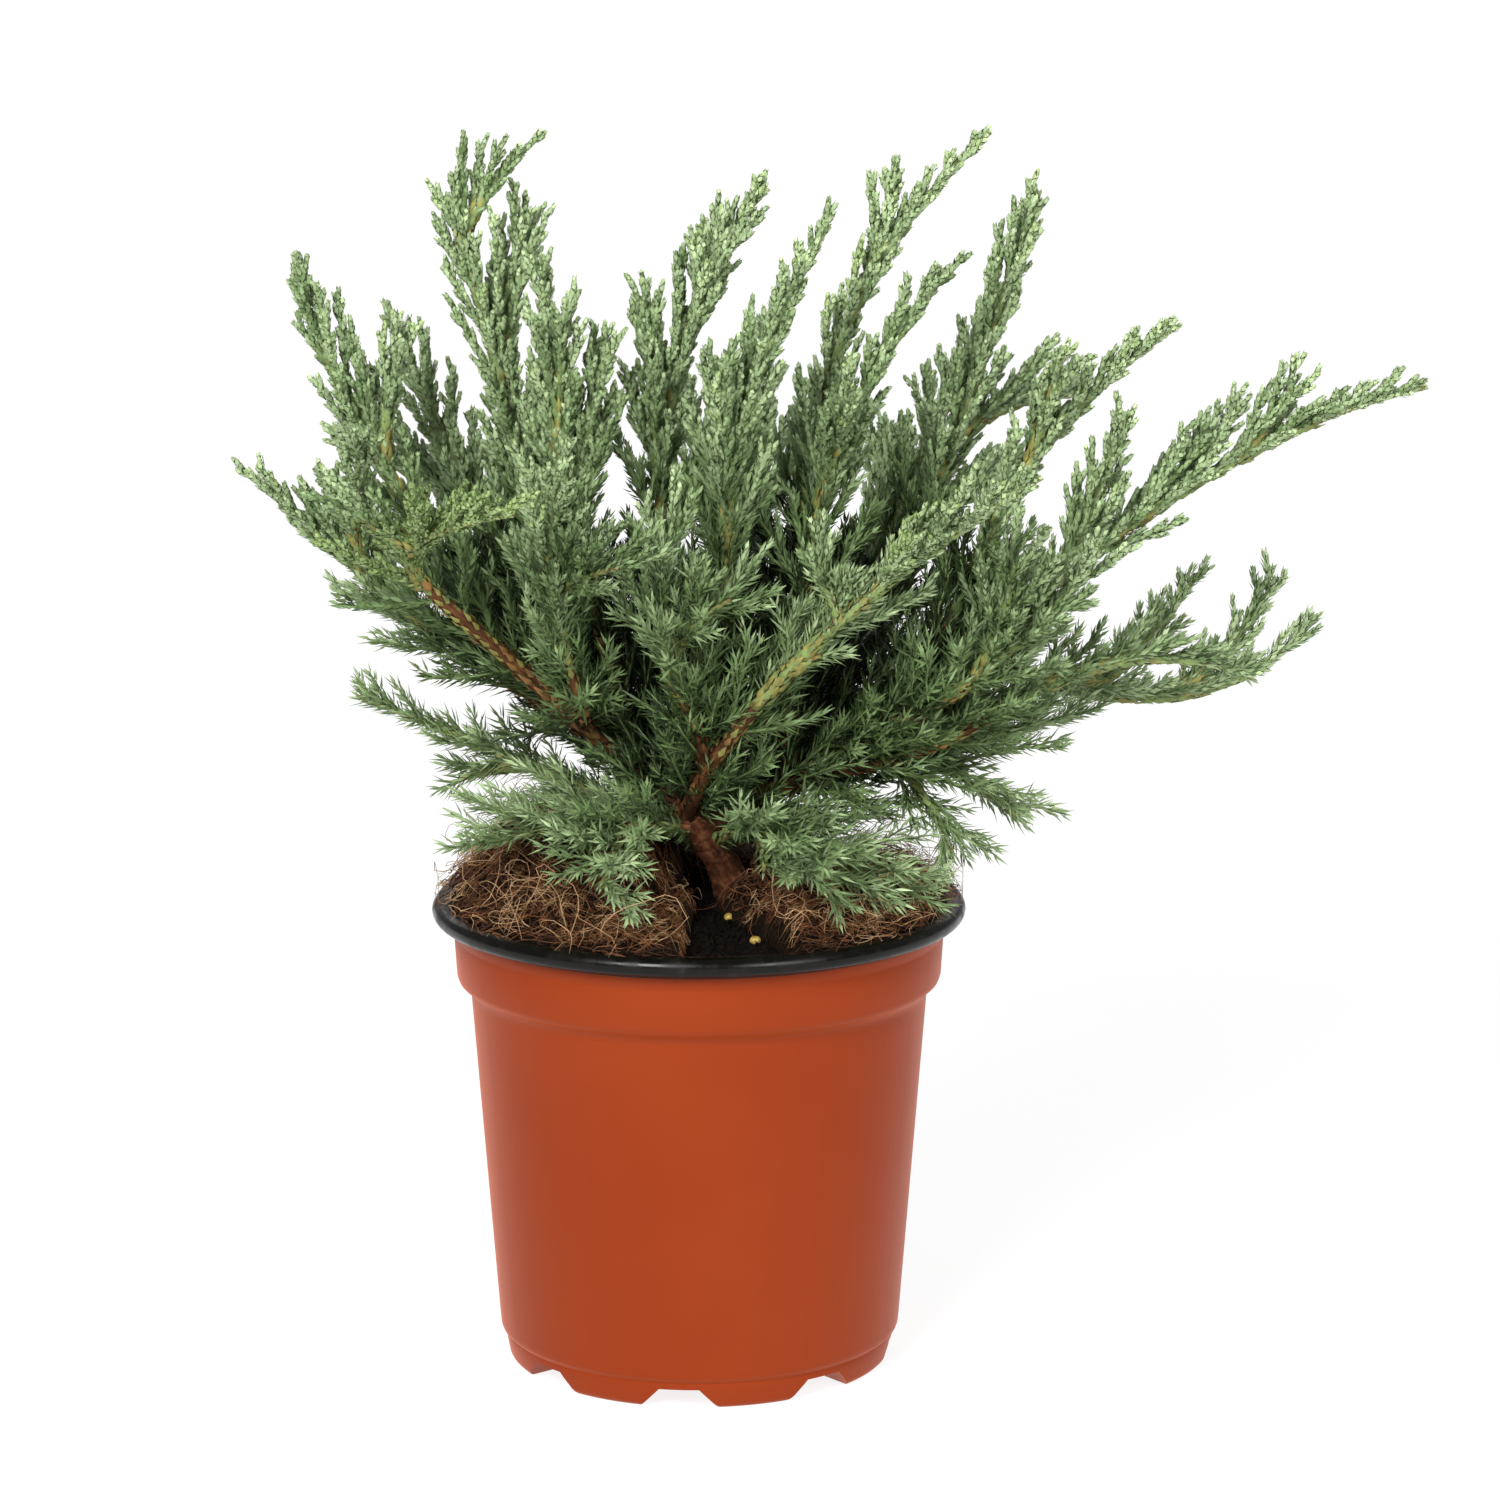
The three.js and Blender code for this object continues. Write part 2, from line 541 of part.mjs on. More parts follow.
const matRight = largest(mat.intersect(sector(MAT_RIGHT_FROM, MAT_RIGHT_TO)));
const matLeft = largest(mat.intersect(sector(MAT_LEFT_FROM, MAT_LEFT_TO)));
add("coir_mat_left", matLeft, COIR);
add("coir_mat_right", matRight, COIR);

// Trunk: it starts a little under its flat cut, so that the cut is level
const stations = new Map();
function trunkRadius(t) {
  const flare = (TRUNK.flare - TRUNK.neck) * Math.max(0, 1 - t / TRUNK.flareEnd) ** 2;
  const crown = (TRUNK.crown - TRUNK.neck) * t;
  return (TRUNK.neck + flare + crown) * (t === 1 ? TRUNK.shoulder : 1);
}
const above = arcThrough(point(TRUNK.from), point(TRUNK.via), point(TRUNK.tip));
const buried = point(TRUNK.from).addScaledVector(above.getTangent(0), -TRUNK.buried);
const trunkLine = arcThrough(buried, point(TRUNK.via), point(TRUNK.tip));
const trunkLimb = (grown) => limb(trunkLine, TRUNK.sides, TRUNK.steps, trunkRadius, grown);
const slab = new THREE.BoxGeometry(POT_HEIGHT, POT_HEIGHT, POT_HEIGHT);
slab.translate(0, 0, TRUNK.from[2] - POT_HEIGHT / 2);
const trunk = trunkLimb(0).subtract(toSolid(slab));
add("trunk", trunk, BARK);
stations.set("trunk", { curve: trunkLine, grown: trunkLimb(GAP) });

// Cut clear of every limb that stands already
function fitted(solid) {
  let rest = solid;
  for (const other of near(solid, [...stations.values()].map((limbs) => limbs.grown))) {
    rest = rest.subtract(other);
  }
  return largest(rest);
}

// Boughs
const solids = [soil, matLeft, matRight, shell, trunk];
for (const { name, on, at, via, tip, girth } of BOUGHS) {
  const curve = arcThrough(stations.get(on).curve.getPointAt(at), point(via), point(tip));
  const steps = Math.max(2, Math.round(curve.getLength() / BOUGH_STEP));
  const taper = (t) => girth[0] + (girth[1] - girth[0]) * t;
  const solid = fitted(limb(curve, BOUGH_SIDES, steps, taper, 0));
  stations.set(name, { curve, grown: limb(curve, BOUGH_SIDES, steps, taper, GAP), radius: girth[1] });
  solids.push(solid);
  add(name, solid, BARK);
}

// Stems of the foliage masses. All are laid out before any spray, so that none is blocked.
function shootsOf({ name, on, at = 1, shoots }) {
  const bearer = stations.get(on);
  const onTrunk = on === "trunk";
  const along = bearer.curve.getTangentAt(at);
  const from = bearer.curve.getPointAt(at);
  const lines = [];
  for (const shoot of shoots) {
    if (lines.length === 0) {
      const tip = point(shoot.tip);
      lines.push(shoot.via ? arcThrough(from, point(shoot.via), tip) : curlTo(from, along, tip));
    } else {
      const fork = lines[0].getPointAt(shoot.at);
      const towards = point(shoot.tip).sub(fork).normalize().multiplyScalar(FORK_TURN);
      const leaving = towards.add(lines[0].getTangentAt(shoot.at)).normalize();
      lines.push(curlTo(fork, leaving, point(shoot.tip)));
    }
  }
  const foot = onTrunk ? STEM_FOOT + STEM_ON_TRUNK : Math.min(STEM_FOOT + STEM_ON_BOUGH, bearer.radius);
  return { name, lines, foot, parts: [] };
}
const masses = MASSES.map(shootsOf);
for (const mass of masses) {
  mass.lines.forEach((line, i) => {
    const root = i === 0 ? STEM_ROOT : FORK_ROOT;
    const stem = spray(line, {
      bands: Math.max(2, Math.round((line.getLength() - root) / STEM_BAND) - 1),
      root,
      core: [i === 0 ? mass.foot : FORK_FOOT, STEM_TIP],
      reach: [
        Math.min(NEEDLE_REACH, NEEDLE_TIP_REACH + line.getLength() * REACH_PER_LENGTH),
        NEEDLE_TIP_REACH,
      ],
    });
    mass.parts.push(fitted(stem));
  });
}

// A side spray leaves its shoot at a bearing round it, lifted towards the light, and bends
// back a little along the shoot
function sideLine(line, share, turn, size) {
  const along = line.getTangentAt(share);
  const side = new THREE.Vector3(Math.cos(turn), Math.sin(turn), SPRAY_BACK);
  side.addScaledVector(along, -side.dot(along)).normalize();
  const heading = along.clone().multiplyScalar(Math.cos(SPRAY_SPREAD));
  heading.addScaledVector(side, Math.sin(SPRAY_SPREAD));
  heading.add(new THREE.Vector3(0, 0, SPRAY_LIFT)).normalize();
  const root = line.getPointAt(share);
  const control = root.clone().addScaledVector(heading, size * SPRAY_HEADING);
  const tip = control.clone().addScaledVector(heading, size * SPRAY_REACH);
  tip.addScaledVector(along, size * SPRAY_BACK);
  return new THREE.QuadraticBezierCurve3(root, control, tip);
}

// The needled part alone, to test that it keeps clear of what is there already
function outerPart(curve) {
  const bare = SPRAY_ROOT / curve.getLength();
  const middle = curve.getPointAt((1 + bare) / 2);
  return new THREE.QuadraticBezierCurve3(curve.getPointAt(bare), middle, curve.getPointAt(1));
}

function sideSpray(curve, root) {
  return spray(curve, {
    bands: Math.max(1, Math.round((curve.getLength() - root) / SPRAY_BAND) - 1),
    root,
    core: [SPRAY_CORE, SPRAY_CORE_TIP],
    reach: [NEEDLE_REACH, NEEDLE_TIP_REACH],
  });
}

// Side sprays stand at golden-angle turns along each shoot, longest low down. One that would
// touch a limb or another spray, or rise above the crown, tries the next turn, and is
// skipped after a few.
for (const mass of masses) {
  const others = [...solids, ...masses.filter((other) => other !== mass).flatMap((other) => other.parts)];
  for (const line of mass.lines) {
    const count = Math.max(1, Math.round(line.getLength() / SPRAY_PITCH));
    let turn = chance(0, 2 * Math.PI);
    for (let i = 0; i < count; i += 1) {
      const share = SPRAY_FIRST + (SPRAY_LAST - SPRAY_FIRST) * ((i + chance(0.2, 0.6)) / count);
      const size = (SPRAY_LONGEST + (SPRAY_SHORTEST - SPRAY_LONGEST) * share) * chance(0.85, 1.1);
      for (let tries = 0; tries < SPRAY_TRIES; tries += 1) {
        turn += GOLDEN_TURN;
        const curve = sideLine(line, share, turn, size);
        const whole = sideSpray(curve, SPRAY_ROOT);
        const outer = sideSpray(outerPart(curve), OUTER_ROOT);
        const below = curve.v2.z < CROWN_TOP;
        if (below && clearOf(whole, near(whole, others)) && clearOf(outer, near(outer, mass.parts))) {
          mass.parts.push(whole);
          break;
        }
      }
    }
  }
}
masses.forEach((mass, i) => {
  const color = FOLIAGE_TONES[i % FOLIAGE_TONES.length];
  const material = new THREE.MeshStandardMaterial({ color, roughness: 0.7, metalness: 0 });
  add(mass.name, fuse(mass.parts), material);
});

export default plant;
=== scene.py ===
# Creeping juniper in a round nursery pot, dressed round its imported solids. Camera and studio are in
# metres. From the pot on, lengths are in millimetres, turned to metres where a mesh is made.
import math

import bmesh
import bpy
import numpy as np
from mathutils import Matrix, Vector, noise


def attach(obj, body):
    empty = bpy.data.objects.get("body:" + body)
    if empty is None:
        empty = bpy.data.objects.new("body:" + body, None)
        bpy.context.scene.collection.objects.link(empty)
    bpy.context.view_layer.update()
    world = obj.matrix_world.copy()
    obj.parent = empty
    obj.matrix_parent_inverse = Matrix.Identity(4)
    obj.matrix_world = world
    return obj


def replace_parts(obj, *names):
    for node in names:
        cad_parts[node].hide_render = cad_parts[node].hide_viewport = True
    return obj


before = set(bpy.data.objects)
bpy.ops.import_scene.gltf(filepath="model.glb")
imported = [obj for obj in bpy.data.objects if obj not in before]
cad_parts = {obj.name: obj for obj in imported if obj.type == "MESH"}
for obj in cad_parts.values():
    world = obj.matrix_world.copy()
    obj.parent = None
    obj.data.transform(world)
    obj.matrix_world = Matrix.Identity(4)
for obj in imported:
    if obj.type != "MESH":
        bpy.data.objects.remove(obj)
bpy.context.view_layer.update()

# Camera: on a stand 1.8 m in front of the pot and above the crown, with a long portrait lens
# that looks 11.77 degrees down. Place and lens come from the ellipses of the pot's lip and foot.
CAMERA_PLACE = (0.0182, -1.8, 0.5966)
CAMERA_PITCH = math.radians(11.77)
FOCAL_PIXELS = 5187.4
PICTURE_PIXELS = 1500
SENSOR_WIDTH = 36
camera_data = bpy.data.cameras.new("camera")
camera_data.sensor_width = SENSOR_WIDTH
camera_data.lens = SENSOR_WIDTH * FOCAL_PIXELS / PICTURE_PIXELS
camera = bpy.data.objects.new("camera", camera_data)
camera.location = CAMERA_PLACE
camera.rotation_euler = (math.pi / 2 - CAMERA_PITCH, 0, 0)
bpy.context.scene.collection.objects.link(camera)
bpy.context.scene.camera = camera

# Studio: a roll of seamless white paper in a white surround, with three soft round lamps. The strong
# one stands high on the front left, a weaker one on the right, and a wide one hangs far behind. The
# paper glows a little of itself, so that it stays white round the pot.
FLOOR_HALF = 14
PAPER_GLOW = 0.85
SURROUND_STRENGTH = 0.26
LAMPS = {
    # name: (place, width, power, point it is turned to)
    "lamp_left": ((-1.0, -2.3, 1.75), 1.3, 99, (0, 0, 0.25)),
    "lamp_right": ((1.4, -2.0, 1.3), 1.2, 40, (0, 0, 0.25)),
    "lamp_backdrop": ((0, 7.5, 3.4), 9, 190, (0, 7.5, 0)),
}
bpy.context.scene.view_settings.view_transform = "Standard"


def linear(colour):
    parts = [int(colour[i : i + 2], 16) / 255 for i in (1, 3, 5)]
    turned = [c / 12.92 if c <= 0.04045 else ((c + 0.055) / 1.055) ** 2.4 for c in parts]
    return (*turned, 1.0)


def add_node(tree, kind, inputs=None, stops=None, **settings):
    """Add a node with its settings, its inputs and its colour stops.

    An input is a value, another node's socket, or a node, whose first output is meant.
    """
    made = tree.nodes.new(kind)
    for name, value in settings.items():
        setattr(made, name, value)
    for name, value in (inputs or {}).items():
        if isinstance(value, bpy.types.Node):
            value = value.outputs[0]
        if isinstance(value, bpy.types.NodeSocket):
            tree.links.new(value, made.inputs[name])
        else:
            made.inputs[name].default_value = value
    for i, (place, colour) in enumerate(stops or []):
        elements = made.color_ramp.elements
        element = elements[i] if i < len(elements) else elements.new(place)
        element.position = place
        element.color = linear(colour)
    return made


def new_material(name):
    material = bpy.data.materials.new(name)
    material.use_nodes = True
    material.node_tree.nodes.clear()
    return material, material.node_tree


def mottled(name, pattern, stops, surface, relief=None, worn=None, drawn=None):
    """A material whose colour follows a noise pattern, as its relief and its wear to matt may do.

    The pattern lies on Object coordinates, or is drawn out along the piece's own UV flow.
    """
    material, tree = new_material(name)
    place = add_node(tree, "ShaderNodeTexCoord").outputs["UV" if drawn else "Object"]
    if drawn:
        place = add_node(tree, "ShaderNodeMapping", {"Vector": place, "Scale": drawn})
    cloud = add_node(tree, "ShaderNodeTexNoise", {"Vector": place, **pattern})
    surface = {**surface, "Base Color": add_node(tree, "ShaderNodeValToRGB", {"Fac": cloud}, stops)}
    if relief:
        surface["Normal"] = add_node(tree, "ShaderNodeBump", {"Height": cloud, **relief})
    if worn:
        surface["Roughness"] = add_node(tree, "ShaderNodeMapRange", {"Value": cloud, **worn})
    skin = add_node(tree, "ShaderNodeBsdfPrincipled", surface)
    add_node(tree, "ShaderNodeOutputMaterial", {"Surface": skin})
    return material


def new_piece(name, mesh, *materials):
    piece = bpy.data.objects.new(name, mesh)
    bpy.context.scene.collection.objects.link(piece)
    for material in materials:
        mesh.materials.append(material)
    return piece


# Uncoated paper: matt and even, with hardly a cloud in it
paper = mottled(
    "seamless_paper", {"Scale": 1000 / 400}, [(0.3, "#7b7b7b"), (0.7, "#7e7e7e")],
    {"Roughness": 0.95, "Emission Color": (1, 1, 1, 1), "Emission Strength": PAPER_GLOW},
)
floor_form = bmesh.new()
bmesh.ops.create_grid(floor_form, x_segments=4, y_segments=4, size=FLOOR_HALF)
floor_mesh = bpy.data.meshes.new("studio_floor")
floor_form.to_mesh(floor_mesh)
floor_form.free()
new_piece("studio_floor", floor_mesh, paper)

surround = bpy.data.worlds.new("surround")
surround.use_nodes = True
surround.node_tree.nodes["Background"].inputs["Color"].default_value = (1, 1, 1, 1)
surround.node_tree.nodes["Background"].inputs["Strength"].default_value = SURROUND_STRENGTH
bpy.context.scene.world = surround

for name, (place, width, power, aim) in LAMPS.items():
    lamp_data = bpy.data.lights.new(name, "AREA")
    lamp_data.shape = "DISK"
    lamp_data.size = width
    lamp_data.energy = power
    lamp = bpy.data.objects.new(name, lamp_data)
    lamp.location = place
    lamp.rotation_euler = (Vector(place) - Vector(aim)).to_track_quat("Z", "Y").to_euler()
    bpy.context.scene.collection.objects.link(lamp)

# Pot: a 19 cm nursery pot, thermoformed from a two-layer sheet that is terracotta outside and
# black inside. The mould gave it a raised band, a stepped foot and eight notches, and its edge
# was rolled outwards, so the lip shows the black layer.
POT_HEIGHT = 168.5
WALL = 1.4
FOOT_RADIUS = 66
FOOT_ROUND = 3
BAND_TOP = (87.5, 160)
LIP_RADIUS = 95
LIP_ROLL = 3.5
NOTCHES = 8
NOTCH_TURN = -5.5
NOTCH_HALF_FOOT = 14
NOTCH_HALF_TOP = 7.1
NOTCH_HEIGHT = 7.3
NOTCH_INNER_END = 30
NOTCH_OUTER_END = 80
DRAIN_RADIUS = 4
DRAIN_CIRCLE = 50
POT_STEPS = 192
# The lip rounds over into the mouth within this drop, and the room's cutter reaches above it
MOUTH_DROP = 2.8
MOUTH_ROUND = 2.6
ROOM_TOP = 200
CREASE_ANGLE = math.radians(38)
SEAM_BEARING = math.radians(6)
SEAM_FOOT = 136
SEAM_WIDTH = 2.2
SEAM_DEPTH = 0.35
# Foot step, then the straight body, the crease under the band, the band and its upper crease
POT_SIDE = [
    (69.6, 6), (69.9, 9), (69.8, 9.6), (70.3, 10.3), (71.4, 11.2), (71.8, 12.2), (72, 14),
    (81.2, 132), (81.3, 134.2), (81.6, 136), (82.6, 137.6), (84.4, 138.8), (85.8, 140), (86.4, 141.8),
    (87.2, 154.6), (86.9, 155.6), (86.9, 156.2), (87.3, 157.2), BAND_TOP,
]


def arc(centre, radius, start, end, steps):
    """Points (r, z) on an arc, angles in degrees from the outward direction."""
    angles = [math.radians(start + (end - start) * i / steps) for i in range(steps + 1)]
    return [(centre[0] + radius * math.cos(a), centre[1] + radius * math.sin(a)) for a in angles]


def finished(form, name):
    bmesh.ops.remove_doubles(form, verts=form.verts, dist=1e-6)
    bmesh.ops.recalc_face_normals(form, faces=form.faces)
    mesh = bpy.data.meshes.new(name)
    form.to_mesh(mesh)
    form.free()
    return mesh


def turned(name, profile, steps=POT_STEPS):
    """A solid of revolution from (r, z) points that start and end on the axis."""
    form = bmesh.new()
    points = [form.verts.new((r / 1000, 0, z / 1000)) for r, z in profile]
    edges = [form.edges.new(pair) for pair in zip(points, points[1:])]
    bmesh.ops.spin(
        form, geom=points + edges, axis=(0, 0, 1), cent=(0, 0, 0), dvec=(0, 0, 0),
        angle=2 * math.pi, steps=steps, use_merge=True, use_duplicate=False,
    )
    return finished(form, name)


def carve(piece, tool):
    """Cut the tool's shape out of the piece and throw the tool away."""
    cutter = piece.modifiers.new("cut", "BOOLEAN")
    cutter.operation = "DIFFERENCE"
    cutter.object = tool
    cutter.solver = "EXACT"
    cutter.use_self = True
    graph = bpy.context.evaluated_depsgraph_get()
    carved = bpy.data.meshes.new_from_object(piece.evaluated_get(graph))
    piece.modifiers.clear()
    piece.data = carved
    bpy.data.objects.remove(tool)


def notch_tools(margin, with_drains):
    """Eight wedges, larger by a margin, that run inwards from the foot, and drains in their roofs."""
    form = bmesh.new()
    below = 2
    slope = (NOTCH_HALF_FOOT - NOTCH_HALF_TOP) / NOTCH_HEIGHT
    low = NOTCH_HALF_FOOT + slope * below + margin
    high = NOTCH_HALF_TOP + margin
    inner = NOTCH_INNER_END - margin
    roof = NOTCH_HEIGHT + margin
    section = [(-low, -below), (low, -below), (high, roof), (-high, roof)]
    for i in range(NOTCHES):
        corners = [form.verts.new((x / 1000, -inner / 1000, z / 1000)) for x, z in section]
        face = form.faces.new(corners)
        swept = bmesh.ops.extrude_face_region(form, geom=[face])["geom"]
        outer = [v for v in swept if isinstance(v, bmesh.types.BMVert)]
        bmesh.ops.translate(form, verts=outer, vec=(0, -(NOTCH_OUTER_END - inner) / 1000, 0))
        wedge = corners + outer
        if with_drains:
            drain = bmesh.ops.create_cone(
                form, cap_ends=True, segments=16, depth=4 * NOTCH_HEIGHT / 1000,
                radius1=DRAIN_RADIUS / 1000, radius2=DRAIN_RADIUS / 1000,
            )["verts"]
            bmesh.ops.translate(form, verts=drain, vec=(0, -DRAIN_CIRCLE / 1000, 0))
            wedge += drain
        turn = Matrix.Rotation(math.radians(NOTCH_TURN + 360 * i / NOTCHES), 3, "Z")
        bmesh.ops.rotate(form, verts=wedge, cent=(0, 0, 0), matrix=turn)
    return new_piece("notch_tools", finished(form, "notch_tools"))


foot_round = arc((FOOT_RADIUS, FOOT_ROUND), FOOT_ROUND, -90, 0, 5)
lip_roll = arc((LIP_RADIUS - LIP_ROLL, POT_HEIGHT - LIP_ROLL), LIP_ROLL, -90, 90, 12)
lip_under = (BAND_TOP[0] + 0.4, POT_HEIGHT - 2 * LIP_ROLL + 0.3)
mouth = arc((BAND_TOP[0] + 1.2, POT_HEIGHT - MOUTH_DROP), MOUTH_ROUND, 90, 180, 5)
outside = [(0, 0), *foot_round, *POT_SIDE, lip_under, *lip_roll, *mouth, (0, POT_HEIGHT - MOUTH_DROP)]
inner_side = [(r - WALL, z) for r, z in [(FOOT_RADIUS + 2, 3.4), *POT_SIDE]]
room_top = [(BAND_TOP[0] - WALL, ROOM_TOP), (0, ROOM_TOP)]
inside = [(0, WALL), (FOOT_RADIUS - WALL, WALL), *inner_side, *room_top]
pot_shell = new_piece("pot_shell", turned("pot_shell", outside))
room = new_piece("pot_room", turned("pot_room", inside))
carve(room, notch_tools(WALL, with_drains=False))
carve(pot_shell, notch_tools(0, with_drains=True))
carve(pot_shell, room)

# The sheet's weld line is a shallow dent down the band, where two heater zones met
for vertex in pot_shell.data.vertices:
    x, y, z = vertex.co * 1000
    off = (math.atan2(x, -y) - SEAM_BEARING) * math.hypot(x, y) / SEAM_WIDTH
    if SEAM_FOOT <= z < BAND_TOP[1] and abs(off) < 3:
        vertex.co.xy *= 1 - SEAM_DEPTH / BAND_TOP[0] * math.exp(-off * off)

# Terracotta-coloured polypropylene: the mould left it satin, and light that goes a little way into
# the sheet warms the sides, which the tinted sheen stands for. Stacking left faint upright rubs and
# a few pale nicks a millimetre wide.
terracotta, tree = new_material("polypropylene_terracotta")
object_place = add_node(tree, "ShaderNodeTexCoord").outputs["Object"]
cloud = add_node(tree, "ShaderNodeTexNoise", {"Vector": object_place, "Scale": 1000 / 70, "Detail": 3})
base = add_node(
    tree, "ShaderNodeValToRGB", {"Fac": cloud}, [(0.35, "#802d0b"), (0.5, "#822f0d"), (0.65, "#84310f")]
)
# A nick can fall in a cell of 18 mm, and does where a second noise is high
cells = add_node(tree, "ShaderNodeTexVoronoi", {"Vector": object_place, "Scale": 55.0})
near = add_node(
    tree, "ShaderNodeMapRange",
    {"Value": cells, "From Min": 0.02, "From Max": 0.035, "To Min": 1.0, "To Max": 0.0},
)
patch = add_node(tree, "ShaderNodeTexNoise", {"Vector": object_place, "Scale": 1000 / 14, "Detail": 0})
rare = add_node(tree, "ShaderNodeMapRange", {"Value": patch, "From Min": 0.64, "From Max": 0.67})
nick = add_node(tree, "ShaderNodeMath", {0: near, 1: rare}, operation="MULTIPLY")
# The Mix node's colour sockets are its inputs 6 and 7 and its output 2
marked = add_node(tree, "ShaderNodeMix", {"Factor": nick, 6: base, 7: linear("#d79a7c")}, data_type="RGBA")
upright = add_node(tree, "ShaderNodeMapping", {"Vector": object_place, "Scale": (1, 1, 0.12)})
rub = add_node(tree, "ShaderNodeTexNoise", {"Vector": upright, "Scale": 1000 / 9, "Detail": 6})
rubbed = add_node(tree, "ShaderNodeMapRange", {"Value": rub, "To Min": 0.3, "To Max": 0.42})
grain = add_node(tree, "ShaderNodeTexNoise", {"Vector": object_place, "Scale": 1000 / 1.8})
relief = add_node(tree, "ShaderNodeBump", {"Height": grain, "Distance": 0.00004, "Strength": 0.5})
skin = add_node(
    tree, "ShaderNodeBsdfPrincipled",
    {
        "Base Color": marked.outputs[2], "Roughness": rubbed, "Normal": relief, "Specular IOR Level": 0.11,
        "Sheen Weight": 0.4, "Sheen Roughness": 0.45, "Sheen Tint": linear("#ff7a38"),
    },
)
add_node(tree, "ShaderNodeOutputMaterial", {"Surface": skin})

# The sheet's black layer: glossy where the roll stretched it, with peat dust dried on in places
black_layer = mottled(
    "polypropylene_black", {"Scale": 1000 / 8, "Detail": 6},
    [(0.45, "#060504"), (0.64, "#0d0b09"), (0.8, "#31291f")], {"Specular IOR Level": 0.22},
    worn={"From Min": 0.4, "From Max": 0.72, "To Min": 0.2, "To Max": 0.5},
)
pot_shell.data.materials.clear()
pot_shell.data.materials.append(terracotta)
pot_shell.data.materials.append(black_layer)
# The black layer shows on the lip and on the inner side, and terracotta everywhere else
for polygon in pot_shell.data.polygons:
    x, y, z = polygon.center * 1000
    inwards = polygon.normal.x * x + polygon.normal.y * y < -0.5 * math.hypot(x, y)
    polygon.material_index = 1 if z > BAND_TOP[1] or (inwards and z > NOTCH_HEIGHT + 3) else 0
pot_shell.data.shade_smooth()
pot_shell.data.set_sharp_from_angle(angle=CREASE_ANGLE)
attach(pot_shell, "root")
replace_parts(pot_shell, "pot")

# Potting soil: dark peat pressed in round the root ball, with loose crumbs where the mat leaves
# it bare, and a few yellow beads of slow-release fertiliser. The pot hides all but its upper part,
# so the bed is 2 cm deep.
SOIL_HEIGHT = 165
SOIL_EDGE_HEIGHT = 162
SOIL_EDGE_RADIUS = 85.2
SOIL_FLAT_RADIUS = 46
SOIL_UNDERSIDE = [(0, 146), (83.6, 146), (84.4, 156)]
SOIL_ROUGHNESS = 1.3
SOIL_RINGS = 30
TRUNK_FOOT = (10, 12)
CRUMBS = 3000
CRUMB_SIZES = (0.4, 1.5)
CRUMB_SKEW = 1.3
CRUMB_CORNERS = (0.6, 1.2)
CRUMB_STANDS = 0.3
CRUMB_BEARINGS = (-14, 40)
CRUMB_RING = (6, 22)
BEAD_RADIUS = 1.8
BEAD_SHAPE = (1.1, 0.95, 0.9)
FERTILISER_BEADS = [(11, -25), (20, -55)]
chance = np.random.default_rng(53)


def soil_top(radius):
    """The bed's height: flat in the middle and sunk a little towards the pot's wall."""
    sunk = np.maximum(0, (radius - SOIL_FLAT_RADIUS) / (SOIL_EDGE_RADIUS - SOIL_FLAT_RADIUS))
    return SOIL_HEIGHT + (SOIL_EDGE_HEIGHT - SOIL_HEIGHT) * sunk


soil_profile = [*SOIL_UNDERSIDE, (SOIL_EDGE_RADIUS, SOIL_EDGE_HEIGHT - 0.5)]
for i in range(SOIL_RINGS + 1):
    radius = (SOIL_EDGE_RADIUS - 0.4) * (1 - i / SOIL_RINGS)
    soil_profile.append((radius, float(soil_top(radius))))
soil_mesh = turned("potting_soil_bed", soil_profile, steps=120)
for vertex in soil_mesh.vertices:
    place = vertex.co * 1000
    if place.z > SOIL_EDGE_HEIGHT - 0.2:
        rough = noise.fractal(place / 6, 1, 2, 4) + 0.5 * noise.noise(place / 1.8)
        edge = min(1, max(0, SOIL_EDGE_RADIUS - math.hypot(place.x, place.y)) / 4)
        vertex.co.z += SOIL_ROUGHNESS * rough * edge / 1000
soil_mesh.shade_smooth()

# Damp peat: almost black, matt, with crumbs about 2 mm across that dry browner on top
peat = mottled(
    "damp_peat", {"Scale": 1000 / 2.2, "Detail": 6, "Roughness": 0.7},
    [(0.35, "#040302"), (0.55, "#0c0805"), (0.76, "#251b11")],
    {"Roughness": 0.95, "Specular IOR Level": 0.1}, relief={"Distance": 0.0009, "Strength": 0.9},
)
soil = new_piece("potting_soil_bed", soil_mesh, peat)
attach(soil, "root")
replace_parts(soil, "potting_soil")


def joined(name, points, face_groups, material, flow=None, smooth=True):
    """One piece from arrays: points in millimetres, each face group an array (faces, corners)."""
    mesh = bpy.data.meshes.new(name)
    corners = np.concatenate([faces.ravel() for faces in face_groups])
    sizes = np.concatenate([np.full(len(faces), faces.shape[1]) for faces in face_groups])
    starts = np.concatenate([[0], np.cumsum(sizes)[:-1]])
    mesh.vertices.add(len(points))
    mesh.vertices.foreach_set("co", (points / 1000).astype(np.float32).ravel())
    mesh.loops.add(len(corners))
    mesh.loops.foreach_set("vertex_index", corners.astype(np.int32))
    mesh.polygons.add(len(sizes))
    mesh.polygons.foreach_set("loop_start", starts.astype(np.int32))
    if flow is not None:
        layer = mesh.uv_layers.new(name="flow")
        layer.uv.foreach_set("vector", flow[corners].astype(np.float32).ravel())
    mesh.update(calc_edges=True)
    mesh.polygons.foreach_set("use_smooth", np.full(len(sizes), smooth))
    piece = new_piece(name, mesh, material)
    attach(piece, "root")
    return piece


def unit(vectors):
    return vectors / np.maximum(np.linalg.norm(vectors, axis=-1, keepdims=True), 1e-9)


